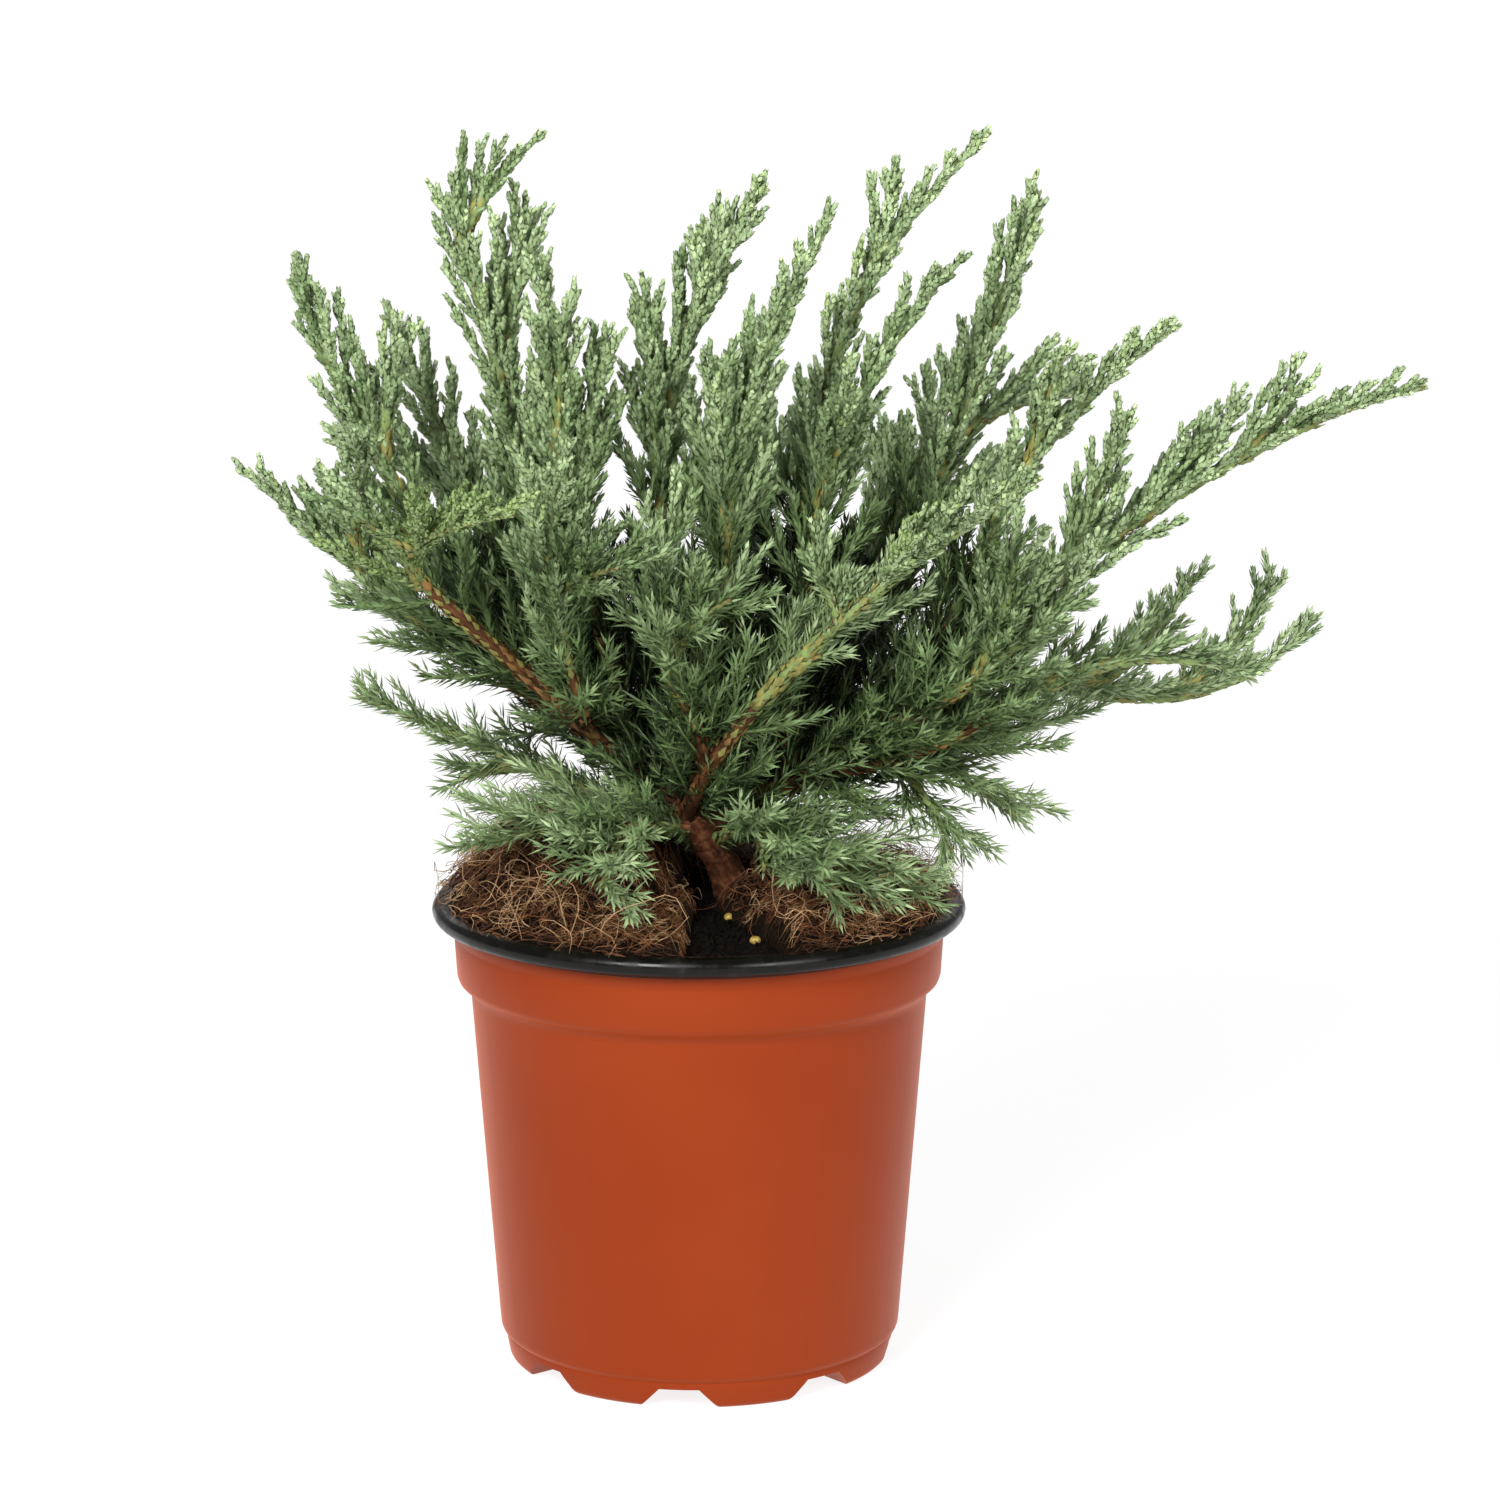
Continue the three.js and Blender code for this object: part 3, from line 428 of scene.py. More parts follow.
# Crumbs lie in the mat's slit and round the trunk, each a squashed and twisted octahedron
bearing = np.radians(chance.uniform(*CRUMB_BEARINGS, CRUMBS))
radius = np.sqrt(chance.uniform(0, 1, CRUMBS)) * (SOIL_EDGE_RADIUS - 2)
crumb_size = chance.uniform(*CRUMB_SIZES, CRUMBS) ** CRUMB_SKEW
crumb_place = np.stack([radius * np.sin(bearing), -radius * np.cos(bearing), soil_top(radius)], 1)
by_trunk = np.arange(CRUMBS) % 3 == 0
bearing = chance.uniform(0, 2 * np.pi, CRUMBS)
radius = chance.uniform(*CRUMB_RING, CRUMBS)
x, y = TRUNK_FOOT[0] + radius * np.cos(bearing), TRUNK_FOOT[1] + radius * np.sin(bearing)
crumb_place[by_trunk] = np.stack([x, y, soil_top(radius)], 1)[by_trunk]
crumb_place[:, 2] += crumb_size * CRUMB_STANDS
octahedron = np.array([(1, 0, 0), (0, 1, 0), (-1, 0, 0), (0, -1, 0), (0, 0, 1), (0, 0, -1)], float)
sides = np.array([(0, 1, 4), (1, 2, 4), (2, 3, 4), (3, 0, 4), (1, 0, 5), (2, 1, 5), (3, 2, 5), (0, 3, 5)])
corners = octahedron @ np.linalg.qr(chance.normal(size=(CRUMBS, 3, 3)))[0]
corners *= chance.uniform(*CRUMB_CORNERS, (CRUMBS, 6, 1)) * crumb_size[:, None, None]
crumb_points = (crumb_place[:, None, :] + corners).reshape(-1, 3)
crumb_faces = (sides + 6 * np.arange(CRUMBS)[:, None, None]).reshape(-1, 3)
crumbs = joined("soil_crumbs", crumb_points, [crumb_faces], peat, smooth=False)

# The beads' resin coat: a waxy yellow skin, a little darker where it has let water in
resin = mottled(
    "fertiliser_resin_coat", {"Scale": 1000 / 1.5}, [(0.4, "#85692a"), (0.65, "#b8a052")],
    {"Roughness": 0.35},
)
bead_form = bmesh.new()
for x, y in FERTILISER_BEADS:
    bead = bmesh.ops.create_icosphere(bead_form, subdivisions=3, radius=BEAD_RADIUS / 1000)["verts"]
    bmesh.ops.scale(bead_form, vec=BEAD_SHAPE, verts=bead)
    height = float(soil_top(math.hypot(x, y))) + BEAD_SHAPE[2] * BEAD_RADIUS
    bmesh.ops.translate(bead_form, verts=bead, vec=(x / 1000, y / 1000, height / 1000))
bead_mesh = finished(bead_form, "fertiliser_beads")
bead_mesh.shade_smooth()
beads = new_piece("fertiliser_beads", bead_mesh, resin)
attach(beads, "root")

# Coconut fibre mat: two halves of needled coir laid round the trunk to keep weeds down, swollen
# on the left, with a slit in front. The felt is its packed heart, and loose curled fibres stand
# out of it all over. Bearings are in degrees from the front, to the right.
MAT_OVERHANG = 88.5
MAT_THICKNESS = 4
MAT_EDGE = 22
MAT_RISE = 2
MAT_RIPPLE = 1.1
MAT_OVER_LIP = 3
MAT_SWELL_LEFT = 21
MAT_SWELL_LEFT_BEARING = -112
MAT_SWELL_RIGHT = 5
MAT_SWELL_RIGHT_BEARING = 80
MAT_HOLE_RADIUS = 19
MAT_LEFT = (169, 356)
MAT_RIGHT = (24, 168)
TUFT_HEIGHT = 1.7
CUT_SLOPE = 4
FELT_GRID = (90, 26)
FELT_HOLE = 6
FELT_REACH = MAT_OVERHANG - 0.5
FELT_SINK = 1
FELT_ROUGHNESS = 0.9
FELT_GRAIN = 7
FELT_IN_SOIL = 1.5
FELT_OVER_LIP = (0.1, 0.4)
FIBRE_STEPS = 15
FIBRE_CURL = 0.32
# Shares of its kind's length, radius and lift that a fibre gets, and of its radius left at its end
FIBRE_LENGTHS = (0.6, 1.3)
FIBRE_RADII = (0.7, 1.25)
FIBRE_ARCHES = (0.1, 1)
FIBRE_END = 0.6
# A fibre's flutter with each step, at most down and up, and how deep it lies in the mat's surface
FLUTTER_STEP = 0.35
FLUTTER = (-0.6, 1.6)
FIBRE_SINK = 0.3
FIBRE_KINDS = {
    # tone: (count, length, radius, lift, darker colour, lighter colour)
    "dark": (2000, 30, 0.17, 2.4, "#2c1609", "#4a2a13"),
    "brown": (1300, 36, 0.14, 7.0, "#5e3a1f", "#875835"),
    "straw": (420, 42, 0.13, 11, "#94704a", "#c3a27a"),
}
STRAYS = 120
STRAYS_FROM = 62
STRAY_FIBRE = {"length": 60, "radius": 0.16, "lift": 20, "curl": 0.12}


def beyond_cut(x, y):
    """How far a place lies outside the slit and the trunk's hole: below 0 it is bare soil."""
    slit = (MAT_LEFT[1] + MAT_RIGHT[0] - 360) / 2
    half = (MAT_RIGHT[0] - MAT_LEFT[1] + 360) / 2
    bearing = np.degrees(np.arctan2(x, -y))
    from_slit = np.abs((bearing - slit + 180) % 360 - 180) - half
    along_slit = np.radians(np.clip(from_slit, -90, 90)) * np.hypot(x, y)
    from_hole = np.hypot(x - TRUNK_FOOT[0], y - TRUNK_FOOT[1]) - MAT_HOLE_RADIUS
    return np.minimum(along_slit, from_hole)


def mat_top(x, y):
    """Height of the mat over the soil, of the bare soil in its cuts, and of the pot's lip."""
    radius = np.hypot(x, y)
    bearing = np.arctan2(x, -y)
    left = np.maximum(0, np.cos(bearing - math.radians(MAT_SWELL_LEFT_BEARING)))
    right = np.maximum(0, np.cos(bearing - math.radians(MAT_SWELL_RIGHT_BEARING)))
    ripple = np.sin(5 * bearing + 1) + np.cos(3 * bearing + radius / 12)
    shoulder = np.clip((MAT_OVERHANG - radius) / MAT_EDGE + 0.2, 0, 1)
    swell = MAT_SWELL_LEFT * left**2 + MAT_SWELL_RIGHT * right**2
    tufts = np.sin(x / 5.3 + 1.7 * np.sin(y / 7.1)) + np.sin(y / 4.7 + 1.3 * np.sin(x / 6.1 + 2))
    height = MAT_THICKNESS + shoulder * (swell + MAT_RIPPLE * ripple + MAT_RISE + TUFT_HEIGHT * tufts)
    over = np.clip(beyond_cut(x, y) / CUT_SLOPE + 0.3, 0, 1)
    ground = SOIL_HEIGHT + height * over * (2 - over)
    lip = POT_HEIGHT + 0.3 - np.maximum(0, radius - LIP_RADIUS + LIP_ROLL) ** 2 / (2 * LIP_ROLL)
    draped = np.maximum(lip, np.minimum(ground, POT_HEIGHT + MAT_OVER_LIP))
    return np.where(radius > MAT_OVERHANG, draped, ground)


# Needled felt: brown fibres packed crosswise, darkened by painted shade in its depth, lighter on its tufts
coir_felt = mottled(
    "needled_coir_felt", {"Scale": 1000 / 1.4, "Detail": 8, "Roughness": 0.75},
    [(0.4, "#0d0602"), (0.56, "#1e1106"), (0.74, "#3d2713")],
    {"Roughness": 0.95, "Specular IOR Level": 0.15}, relief={"Distance": 0.0012},
)


def felt(name, span):
    """Half of the felt, between two bearings: a grid laid just under the mat's height, closed by
    an underside that is sunk in the soil and, past the soil's edge, lies on the pot's lip."""
    form = bmesh.new()
    bmesh.ops.create_grid(form, x_segments=FELT_GRID[0], y_segments=FELT_GRID[1], size=1)
    for vertex in form.verts:
        turn = math.radians(span[0] + (span[1] - span[0]) * (vertex.co.x + 1) / 2)
        radius = FELT_HOLE + (FELT_REACH - FELT_HOLE) * (vertex.co.y + 1) / 2
        x, y = radius * math.sin(turn), -radius * math.cos(turn)
        rough = noise.fractal(Vector((x, y, 0)) / FELT_GRAIN, 1, 2, 4)
        height = float(mat_top(np.float64(x), np.float64(y))) - FELT_SINK + FELT_ROUGHNESS * rough
        floor = POT_HEIGHT + FELT_OVER_LIP[1] if radius > SOIL_EDGE_RADIUS else SOIL_EDGE_HEIGHT
        vertex.co = Vector((x, y, max(height, floor))) / 1000
    lower = bmesh.ops.extrude_face_region(form, geom=form.faces[:])["geom"]
    for vertex in [v for v in lower if isinstance(v, bmesh.types.BMVert)]:
        over_lip = math.hypot(vertex.co.x, vertex.co.y) * 1000 > SOIL_EDGE_RADIUS
        under = POT_HEIGHT + FELT_OVER_LIP[0] if over_lip else SOIL_EDGE_HEIGHT - FELT_IN_SOIL
        vertex.co.z = under / 1000
    mesh = finished(form, name)
    mesh.shade_smooth()
    piece = new_piece(name, mesh, coir_felt)
    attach(piece, "root")
    return piece


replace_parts(felt("coir_felt_left", MAT_LEFT), "coir_mat_left")
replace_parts(felt("coir_felt_right", MAT_RIGHT), "coir_mat_right")


def square_to(headings):
    """A level direction square to each heading, or one across x where the heading is steep."""
    steep = np.abs(headings[:, 2:3]) > 0.9
    return np.cross(headings, np.where(steep, (1.0, 0.0, 0.0), (0.0, 0.0, 1.0)))


def carried(headings):
    """A direction square to each heading, carried along every line without a twist."""
    normals = np.empty_like(headings)
    across = square_to(headings[:, 0])
    for i in range(headings.shape[1]):
        along = headings[:, i]
        across = unit(across - np.sum(across * along, axis=1, keepdims=True) * along)
        normals[:, i] = across
    return normals


def tubes(lines, radii, sides, headings=None):
    """Points and faces of closed tubes: lines (count, steps, 3), a radius for each step or point."""
    count, steps, _ = lines.shape
    headings = unit(np.gradient(lines, axis=1)) if headings is None else headings
    normals = carried(headings)
    binormals = np.cross(headings, normals)
    turns = (2 * np.pi * np.arange(sides) / sides)[:, None]
    spokes = normals[:, :, None] * np.cos(turns) + binormals[:, :, None] * np.sin(turns)
    points = lines[:, :, None] + spokes * radii.reshape(count, steps, -1, 1)
    start = sides * (np.arange(count)[:, None, None] * steps + np.arange(steps - 1)[None, :, None])
    here = np.arange(sides)
    after = (here + 1) % sides
    walls = np.stack([start + here, start + after, start + sides + after, start + sides + here], -1)
    first = sides * steps * np.arange(count)[:, None]
    ends = np.concatenate([first + here[::-1], first + sides * (steps - 1) + here])
    return points.reshape(-1, 3), walls.reshape(-1, 4), ends


def fibre_tubes(starts, length, radius, lift, curl):
    """Curled fibres that follow the mat's surface from their starts, tucked in at both ends.

    Each winds its own way over the mat, arches up to the lift and flutters above it, stays inside
    the lip, and is left out where it would cross the slit.
    """
    count = len(starts)
    step = length * chance.uniform(*FIBRE_LENGTHS, (count, 1)) / FIBRE_STEPS
    bend = chance.normal(0, curl, (count, 1))
    bend = bend + np.cumsum(chance.normal(0, curl / 2, (count, FIBRE_STEPS)), axis=1)
    heading = chance.uniform(0, 2 * np.pi, (count, 1)) + np.cumsum(bend * step, axis=1)
    way = np.stack([np.cos(heading), np.sin(heading)], -1) * step[..., None]
    flat = starts[:, None] + np.cumsum(way, axis=1)
    reach = np.hypot(flat[..., 0], flat[..., 1])
    flat *= np.minimum(1, (LIP_RADIUS - 1) / reach)[..., None]
    arch = np.sin(np.linspace(0, np.pi, FIBRE_STEPS)) ** 0.7
    arch = arch * chance.uniform(*FIBRE_ARCHES, (count, 1)) * lift
    flutter = np.cumsum(chance.normal(0, FLUTTER_STEP, (count, FIBRE_STEPS)), axis=1)
    flutter -= flutter.mean(axis=1, keepdims=True)
    high = mat_top(flat[..., 0], flat[..., 1]) + arch + np.clip(flutter, *FLUTTER) - FIBRE_SINK
    lines = np.concatenate([flat, high[..., None]], -1)
    clear = (beyond_cut(flat[..., 0], flat[..., 1]) > -1.2 - 0.25 * lift).all(axis=1)
    radii = radius * chance.uniform(*FIBRE_RADII, (count, 1)) * np.linspace(1, FIBRE_END, FIBRE_STEPS)
    return tubes(lines[clear], radii[clear], 3)


def on_mat(count):
    """Places strewn evenly over both halves of the mat."""
    turn = np.radians(chance.uniform(MAT_RIGHT[0], MAT_LEFT[1], count))
    reach = np.sqrt(chance.uniform(0.03, 1, count)) * FELT_REACH
    return np.stack([reach * np.sin(turn), -reach * np.cos(turn)], 1)


# Coir fibres: round, stiff and slightly glossy, each one even in colour, from dark to straw
for tone, (count, length, radius, lift, darker, lighter) in FIBRE_KINDS.items():
    fibre = mottled(
        "coir_fibre_" + tone, {"Scale": 1000 / 9}, [(0.3, darker), (0.7, lighter)],
        {"Roughness": 0.55, "Specular IOR Level": 0.3},
    )
    points, walls, ends = fibre_tubes(on_mat(count), length, radius, lift, FIBRE_CURL)
    loose = joined("coir_fibres_" + tone, points, [walls, ends], fibre)
    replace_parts(loose, "coir_mat_left", "coir_mat_right")

# A few fibres have sprung out of the mat's rim and stand in wide loops
rim = on_mat(4 * STRAYS)
rim = rim[np.hypot(rim[:, 0], rim[:, 1]) > STRAYS_FROM][:STRAYS]
points, walls, ends = fibre_tubes(rim, **STRAY_FIBRE)
strays = joined("coir_fibres_stray", points, [walls, ends], fibre)

# Plant: a young creeping juniper with one short trunk that forks low, rooted in the pot. These are
# the limbs and shoots of the part's source, drawn by its own rule, and all finer growth stands on
# them. Places are (right, back, up) from the middle of the pot's underside.
CURL = 0.4
FORK_TURN = 1.2
# The trunk's radii at its flare in the soil, its neck and its crown, the share of its length where
# the flare ends, and how deep its foot is buried
TRUNK = {
    "from": (13, 15, 166.3), "via": (6, 6, 183), "tip": (-4, -6, 200),
    "flare": 9.5, "neck": 5.6, "crown": 6, "flare_end": 0.45, "buried": 6,
}
BOUGHS = {
    # name: (bearer, share along it, middle, tip, foot radius, tip radius)
    "left_lead": ("trunk", 0.93, (-46, -10, 238), (-92, -40, 286), 3.4, 2.2),
    "front": ("trunk", 0.98, (3, -26, 219), (20, -41, 245), 3.3, 2.2),
    "right": ("trunk", 0.8, (44, -10, 219), (90, -8, 250), 3.6, 2.2),
    "back": ("trunk", 0.7, (6, 38, 208), (10, 66, 242), 3.5, 2.2),
    "left_back": ("trunk", 0.86, (-30, 28, 224), (-62, 52, 264), 3.4, 2.2),
    "right_back": ("trunk", 0.76, (34, 28, 220), (70, 46, 262), 3.6, 2.2),
    "left_low": ("left_lead", 0.36, (-62, 6, 242), (-86, 8, 258), 2.6, 2),
    "left_tall": ("left_low", 0.5, (-76, 20, 262), (-88, 24, 280), 2.2, 1.9),
    "left_front": ("left_lead", 0.4, (-40, -24, 240), (-44, -34, 256), 2.4, 1.9),
    "tall_left": ("left_back", 0.42, (-44, 26, 250), (-54, 22, 278), 2.6, 2),
    "back_left": ("left_back", 0.3, (-28, 60, 234), (-40, 80, 256), 2.5, 1.9),
    "centre_left": ("left_lead", 0.22, (-29, 4, 242), (-36, 2, 266), 2.6, 2),
    "centre": ("trunk", 0.97, (-9, 6, 234), (-10, 12, 268), 3.1, 2.1),
    "centre_lean": ("centre", 0.34, (2, -4, 246), (10, -12, 270), 2.6, 2),
    "centre_front": ("front", 0.45, (0, -34, 234), (-5, -40, 248), 2.4, 1.9),
    "right_tall": ("right_back", 0.36, (32, 22, 250), (38, 24, 282), 2.7, 2),
    "right_lean": ("right", 0.36, (32, -4, 240), (38, -4, 264), 2.6, 2),
    "right_upper": ("right", 0.72, (84, 10, 258), (96, 14, 276), 2.4, 1.9),
    "back_right": ("right_back", 0.34, (38, 56, 232), (54, 80, 256), 2.5, 1.9),
    "right_front": ("right", 0.56, (70, -26, 236), (84, -36, 246), 2.4, 1.9),
    "right_low": ("right", 0.44, (72, -20, 224), (100, -25, 238), 2.5, 2),
    "right_side": ("right_back", 0.5, (78, 42, 238), (104, 42, 246), 2.5, 2),
    "low_right": ("right", 0.3, (42, 6, 209), (54, 6, 216), 2.4, 1.9),
}
MASSES = {
    # name: [first shoot's tip, its middle or None, (share along it, fork's tip), ...]
    "left_lead": [(-54, -114, 325), None, (0.3, (-128, -63, 320))],
    "front": [(118, -114, 339), None, (0.12, (47, -58, 268)), (0.3, (35, -68, 304))],
    "right_long": [
        (261, 20, 349), (176, 10, 316),
        (0.22, (150, 0, 346)), (0.4, (196, 42, 341)), (0.62, (212, 16, 354)),
    ],
    "back": [(24, 154, 363), None, (0.2, (-14, 141, 338)), (0.3, (56, 135, 328))],
    "left_back": [(-113, 86, 371), None, (0.3, (-139, 102, 317))],
    "right_back": [(123, 60, 417), (97, 47, 342), (0.3, (81, 40, 340)), (0.4, (140, 91, 335))],
    "left_low": [(-159, 0, 322), None, (0.4, (-113, -38, 338))],
    "left_tall": [(-144, 30, 392), (-121, 28, 336), (0.35, (-104, 30, 366))],
    "left_front": [(-46, -74, 337), None, (0.3, (-22, -79, 301))],
    "tall_left": [(-91, 30, 419), (-70, 27, 350), (0.84, (-50, 50, 439)), (0.5, (-60, 46, 412))],
    "back_left": [(-77, 164, 349), None, (0.2, (-113, 146, 305)), (0.3, (-35, 164, 319))],
    "centre_left": [(-55, 10, 402), None, (0.4, (-46, -12, 384)), (0.2, (-30, 4, 372))],
    "centre": [(27, 40, 422), (-9, 22, 348), (0.3, (-20, 20, 384)), (0.55, (10, 56, 404))],
    "centre_lean": [(48, -10, 413), (17, -20, 345), (0.2, (8, -34, 366))],
    "centre_front": [(-6, -60, 322), None, (0.2, (16, -68, 290))],
    "right_tall": [(108, 60, 438), (53, 36, 368), (0.6, (69, 60, 423))],
    "right_lean": [(92, 10, 397), (51, 3, 332), (0.3, (52, -30, 350))],
    "right_upper": [(176, 40, 371), (124, 25, 328), (0.35, (128, 10, 366))],
    "back_right": [(97, 156, 345), None, (0.25, (127, 133, 303)), (0.3, (67, 167, 310))],
    "right_front": [(138, -60, 301), None, (0.2, (108, -71, 304))],
    "right_low": [(197, -30, 251), (150, -32, 260)],
    "right_side": [(229, 73, 260), (176, 54, 231), (0.5, (215, 96, 271)), (0.25, (185, 86, 275))],
    "low_right": [(120, 0, 192), None, (0.2, (141, 26, 230)), (0.15, (92, -22, 182))],
    "low_left": [(-127, 20, 239), (-62, 12, 214), (0.5, (-93, 20, 203))],
    "low_front_left": [(-76, -40, 195), (-36, -24, 200), (0.3, (-33, -68, 184))],
    "low_front": [(53, -60, 178), (26, -30, 197), (0.4, (22, -54, 186)), (0.45, (80, -38, 178))],
    "low_back": [(30, 107, 204), (20, 52, 206), (0.35, (74, 70, 210)), (0.3, (-30, 91, 213))],
}
# A mass stands on the tip of the bough of its own name, but for these: (bearer, share along it)
BEARERS = {
    "right_long": ("right", 1), "low_left": ("trunk", 0.6), "low_front_left": ("trunk", 0.72),
    "low_front": ("trunk", 0.62), "low_back": ("trunk", 0.5),
}
FOLIAGE_NODES = ["foliage_" + name for name in MASSES]


def arc_through(start, middle, tip):
    """An arc, as its two ends and the bend between them, that passes through three places."""
    start, middle, tip = (np.array(place, float) for place in (start, middle, tip))
    return np.array([start, 2 * middle - (start + tip) / 2, tip])


def curl_to(start, heading, tip):
    """An arc that leaves along a heading and curls to its tip."""
    tip = np.array(tip, float)
    return np.array([start, start + heading * CURL * np.linalg.norm(tip - start), tip])


def on_arcs(arcs, t):
    """Places and headings on arcs (count, 3, 3) at parameters (count,) or (count, steps)."""
    start, bend, end = (arcs[:, i] if t.ndim == 1 else arcs[:, None, i] for i in range(3))
    t = t[..., None]
    place = (1 - t) ** 2 * start + 2 * t * (1 - t) * bend + t * t * end
    return place, unit((1 - t) * (bend - start) + t * (end - bend))


def lengths_of(arcs):
    path = on_arcs(arcs, np.tile(np.linspace(0, 1, 33), (len(arcs), 1)))[0]
    return np.linalg.norm(np.diff(path, axis=1), axis=2).sum(axis=1)


def walk(line, share):
    """Place and heading at a share of one arc's length."""
    t = np.linspace(0, 1, 201)
    path = on_arcs(line[None], t[None])[0][0]
    run = np.concatenate([[0], np.cumsum(np.linalg.norm(np.diff(path, axis=0), axis=1))])
    place, heading = on_arcs(line[None], np.interp([share * run[-1]], run, t))
    return place[0], heading[0]


foot_heading = walk(arc_through(TRUNK["from"], TRUNK["via"], TRUNK["tip"]), 0)[1]
trunk_foot = np.array(TRUNK["from"]) - TRUNK["buried"] * foot_heading
limbs = {"trunk": arc_through(trunk_foot, TRUNK["via"], TRUNK["tip"])}
for name, (bearer, share, middle, tip, _, _) in BOUGHS.items():
    limbs[name] = arc_through(walk(limbs[bearer], share)[0], middle, tip)

# Trunk and boughs: living wood in its bark. Boughs a few years old are scaly and orange-brown, and
# the trunk sheds its bark in long red-brown shreds, whose edges lift by a millimetre.
BARK_SIDES = 22
BARK_DRAWN = (1, 0.16, 1)
BARK_SURFACE = {"Roughness": 0.85, "Specular IOR Level": 0.2}
# What each form adds to a limb's radius, and how far below it the bark starts, in shares of a shred
BARK_FORMS = {"strips": 0.42, "plates": 0.38, "cracks": 0.1, "sunk": 0.4}
TRUNK_BARK = {"step": 0.8, "shred": 1.6}
BOUGH_BARK = {"step": 1.2, "shred": 0.4}


def barked(line, radius_at, step, shred):
    """A limb's skin, and its flow on it: (round, along) in millimetres.

    Strips wind slowly round the limb, plates lift along it, and fine cracks roughen both.
    """
    length = lengths_of(line[None])[0]
    steps = max(8, int(length / step))
    share = np.linspace(0, 1, steps)
    places, headings = on_arcs(line[None], share[None])
    turn = (2 * np.pi * np.arange(BARK_SIDES) / BARK_SIDES)[None, :]
    run = (share * length)[:, None]
    shift = chance.uniform(0, 6, 3)
    twist = turn + 0.5 * np.sin(run / 17 + shift[0]) + run / 60
    strips = np.abs(np.sin(2.5 * twist + 1.1 * np.sin(run / 7 + shift[1] + 2 * np.sin(turn))))
    plates = (run / (7 + 3 * np.sin(turn + shift[2])) + 0.6 * np.sin(3 * turn + shift[0])) % 1
    cracks = np.sin(11 * twist + 2.3 * np.sin(run / 3.1)) + chance.normal(0, 0.5, (steps, BARK_SIDES))
    relief = BARK_FORMS["strips"] * strips + BARK_FORMS["plates"] * plates
    relief = relief + BARK_FORMS["cracks"] * cracks - BARK_FORMS["sunk"]
    radius = radius_at(share)[:, None] + shred * relief
    flow = np.stack(np.broadcast_arrays(np.sin(turn) * radius, run), -1)
    return *tubes(places, radius, BARK_SIDES, headings), flow.reshape(-1, 2)


def merged(name, parts, material):
    """One piece from parts (points, walls, ends, flow) whose faces each count from 0."""
    starts = np.cumsum([0] + [len(part[0]) for part in parts])
    groups = {}
    for start, (_, walls, ends, _) in zip(starts, parts):
        for faces in (walls, ends):
            groups.setdefault(faces.shape[1], []).append(faces + start)
    faces = [np.concatenate(group) for group in groups.values()]
    points, flow = (np.concatenate([part[i] for part in parts]) for i in (0, 3))
    return joined(name, points, faces, material, flow=flow)


def trunk_radius(share):
    flare = (TRUNK["flare"] - TRUNK["neck"]) * np.maximum(0, 1 - share / TRUNK["flare_end"]) ** 2
    return TRUNK["neck"] + flare + (TRUNK["crown"] - TRUNK["neck"]) * share


# Old juniper bark: dry and matt, in red-brown strips some 1.4 mm wide with dark splits between
old_bark = mottled(
    "shredding_red_brown_bark", {"Scale": 1 / 1.4, "Detail": 6, "Roughness": 0.65},
    [(0.3, "#2c170c"), (0.48, "#5e3722"), (0.62, "#875637"), (0.8, "#ab7f59")],
    BARK_SURFACE, relief={"Distance": 0.0007}, drawn=BARK_DRAWN,
)
# Young juniper bark: orange-brown and scaly, with less depth in its splits
young_bark = mottled(
    "scaly_orange_brown_bark", {"Scale": 1 / 1.6, "Detail": 6, "Roughness": 0.65},
    [(0.3, "#2c180e"), (0.46, "#4d2f1b"), (0.6, "#6b4527"), (0.78, "#8f6a3f")],
    BARK_SURFACE, relief={"Distance": 0.0005}, drawn=BARK_DRAWN,
)
trunk_skin = merged("bark_trunk", [barked(limbs["trunk"], trunk_radius, **TRUNK_BARK)], old_bark)
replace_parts(trunk_skin, "trunk")
bough_parts = [
    barked(limbs[name], lambda share, foot=foot, tip=tip: foot + (tip - foot) * share, **BOUGH_BARK)
    for name, (_, _, _, _, foot, tip) in BOUGHS.items()
]
bough_skin = merged("bark_boughs", bough_parts, young_bark)
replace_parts(bough_skin, *["bough_" + name for name in BOUGHS])

# Shoots: a stem from each bough's tip or the trunk, with forks and side sprays at golden-angle
# turns, which bear branchlets: short and thick among scales, longer and thin lower down. Plumes of
# the same clothe the boughs, a collar the trunk's top, and a skirt hangs under two right boughs.
GOLDEN_TURN = 2.39996
SHOOT_GIRTH = (2.1, 0.7)
# Where in its pitch a twig stands, how far its turn strays, and how much its side looks upwards
PITCH_PLAY = (0.2, 0.8)
TURN_SPREAD = 0.25
SIDE_RISE = 0.2
# A twig's size is its kind's times one of these, and at most (share of its bearer, millimetres more)
SPRAY_SIZES = (0.62, 1.22)
LONGEST_SPRAY = (0.6, 3)
# Shares of that size: along its heading to its bend, from there on, and along its bearer to its tip
SPRAY_BEND = 0.5
SPRAY_END = 0.35
SPRAY_ALONG = 0.2
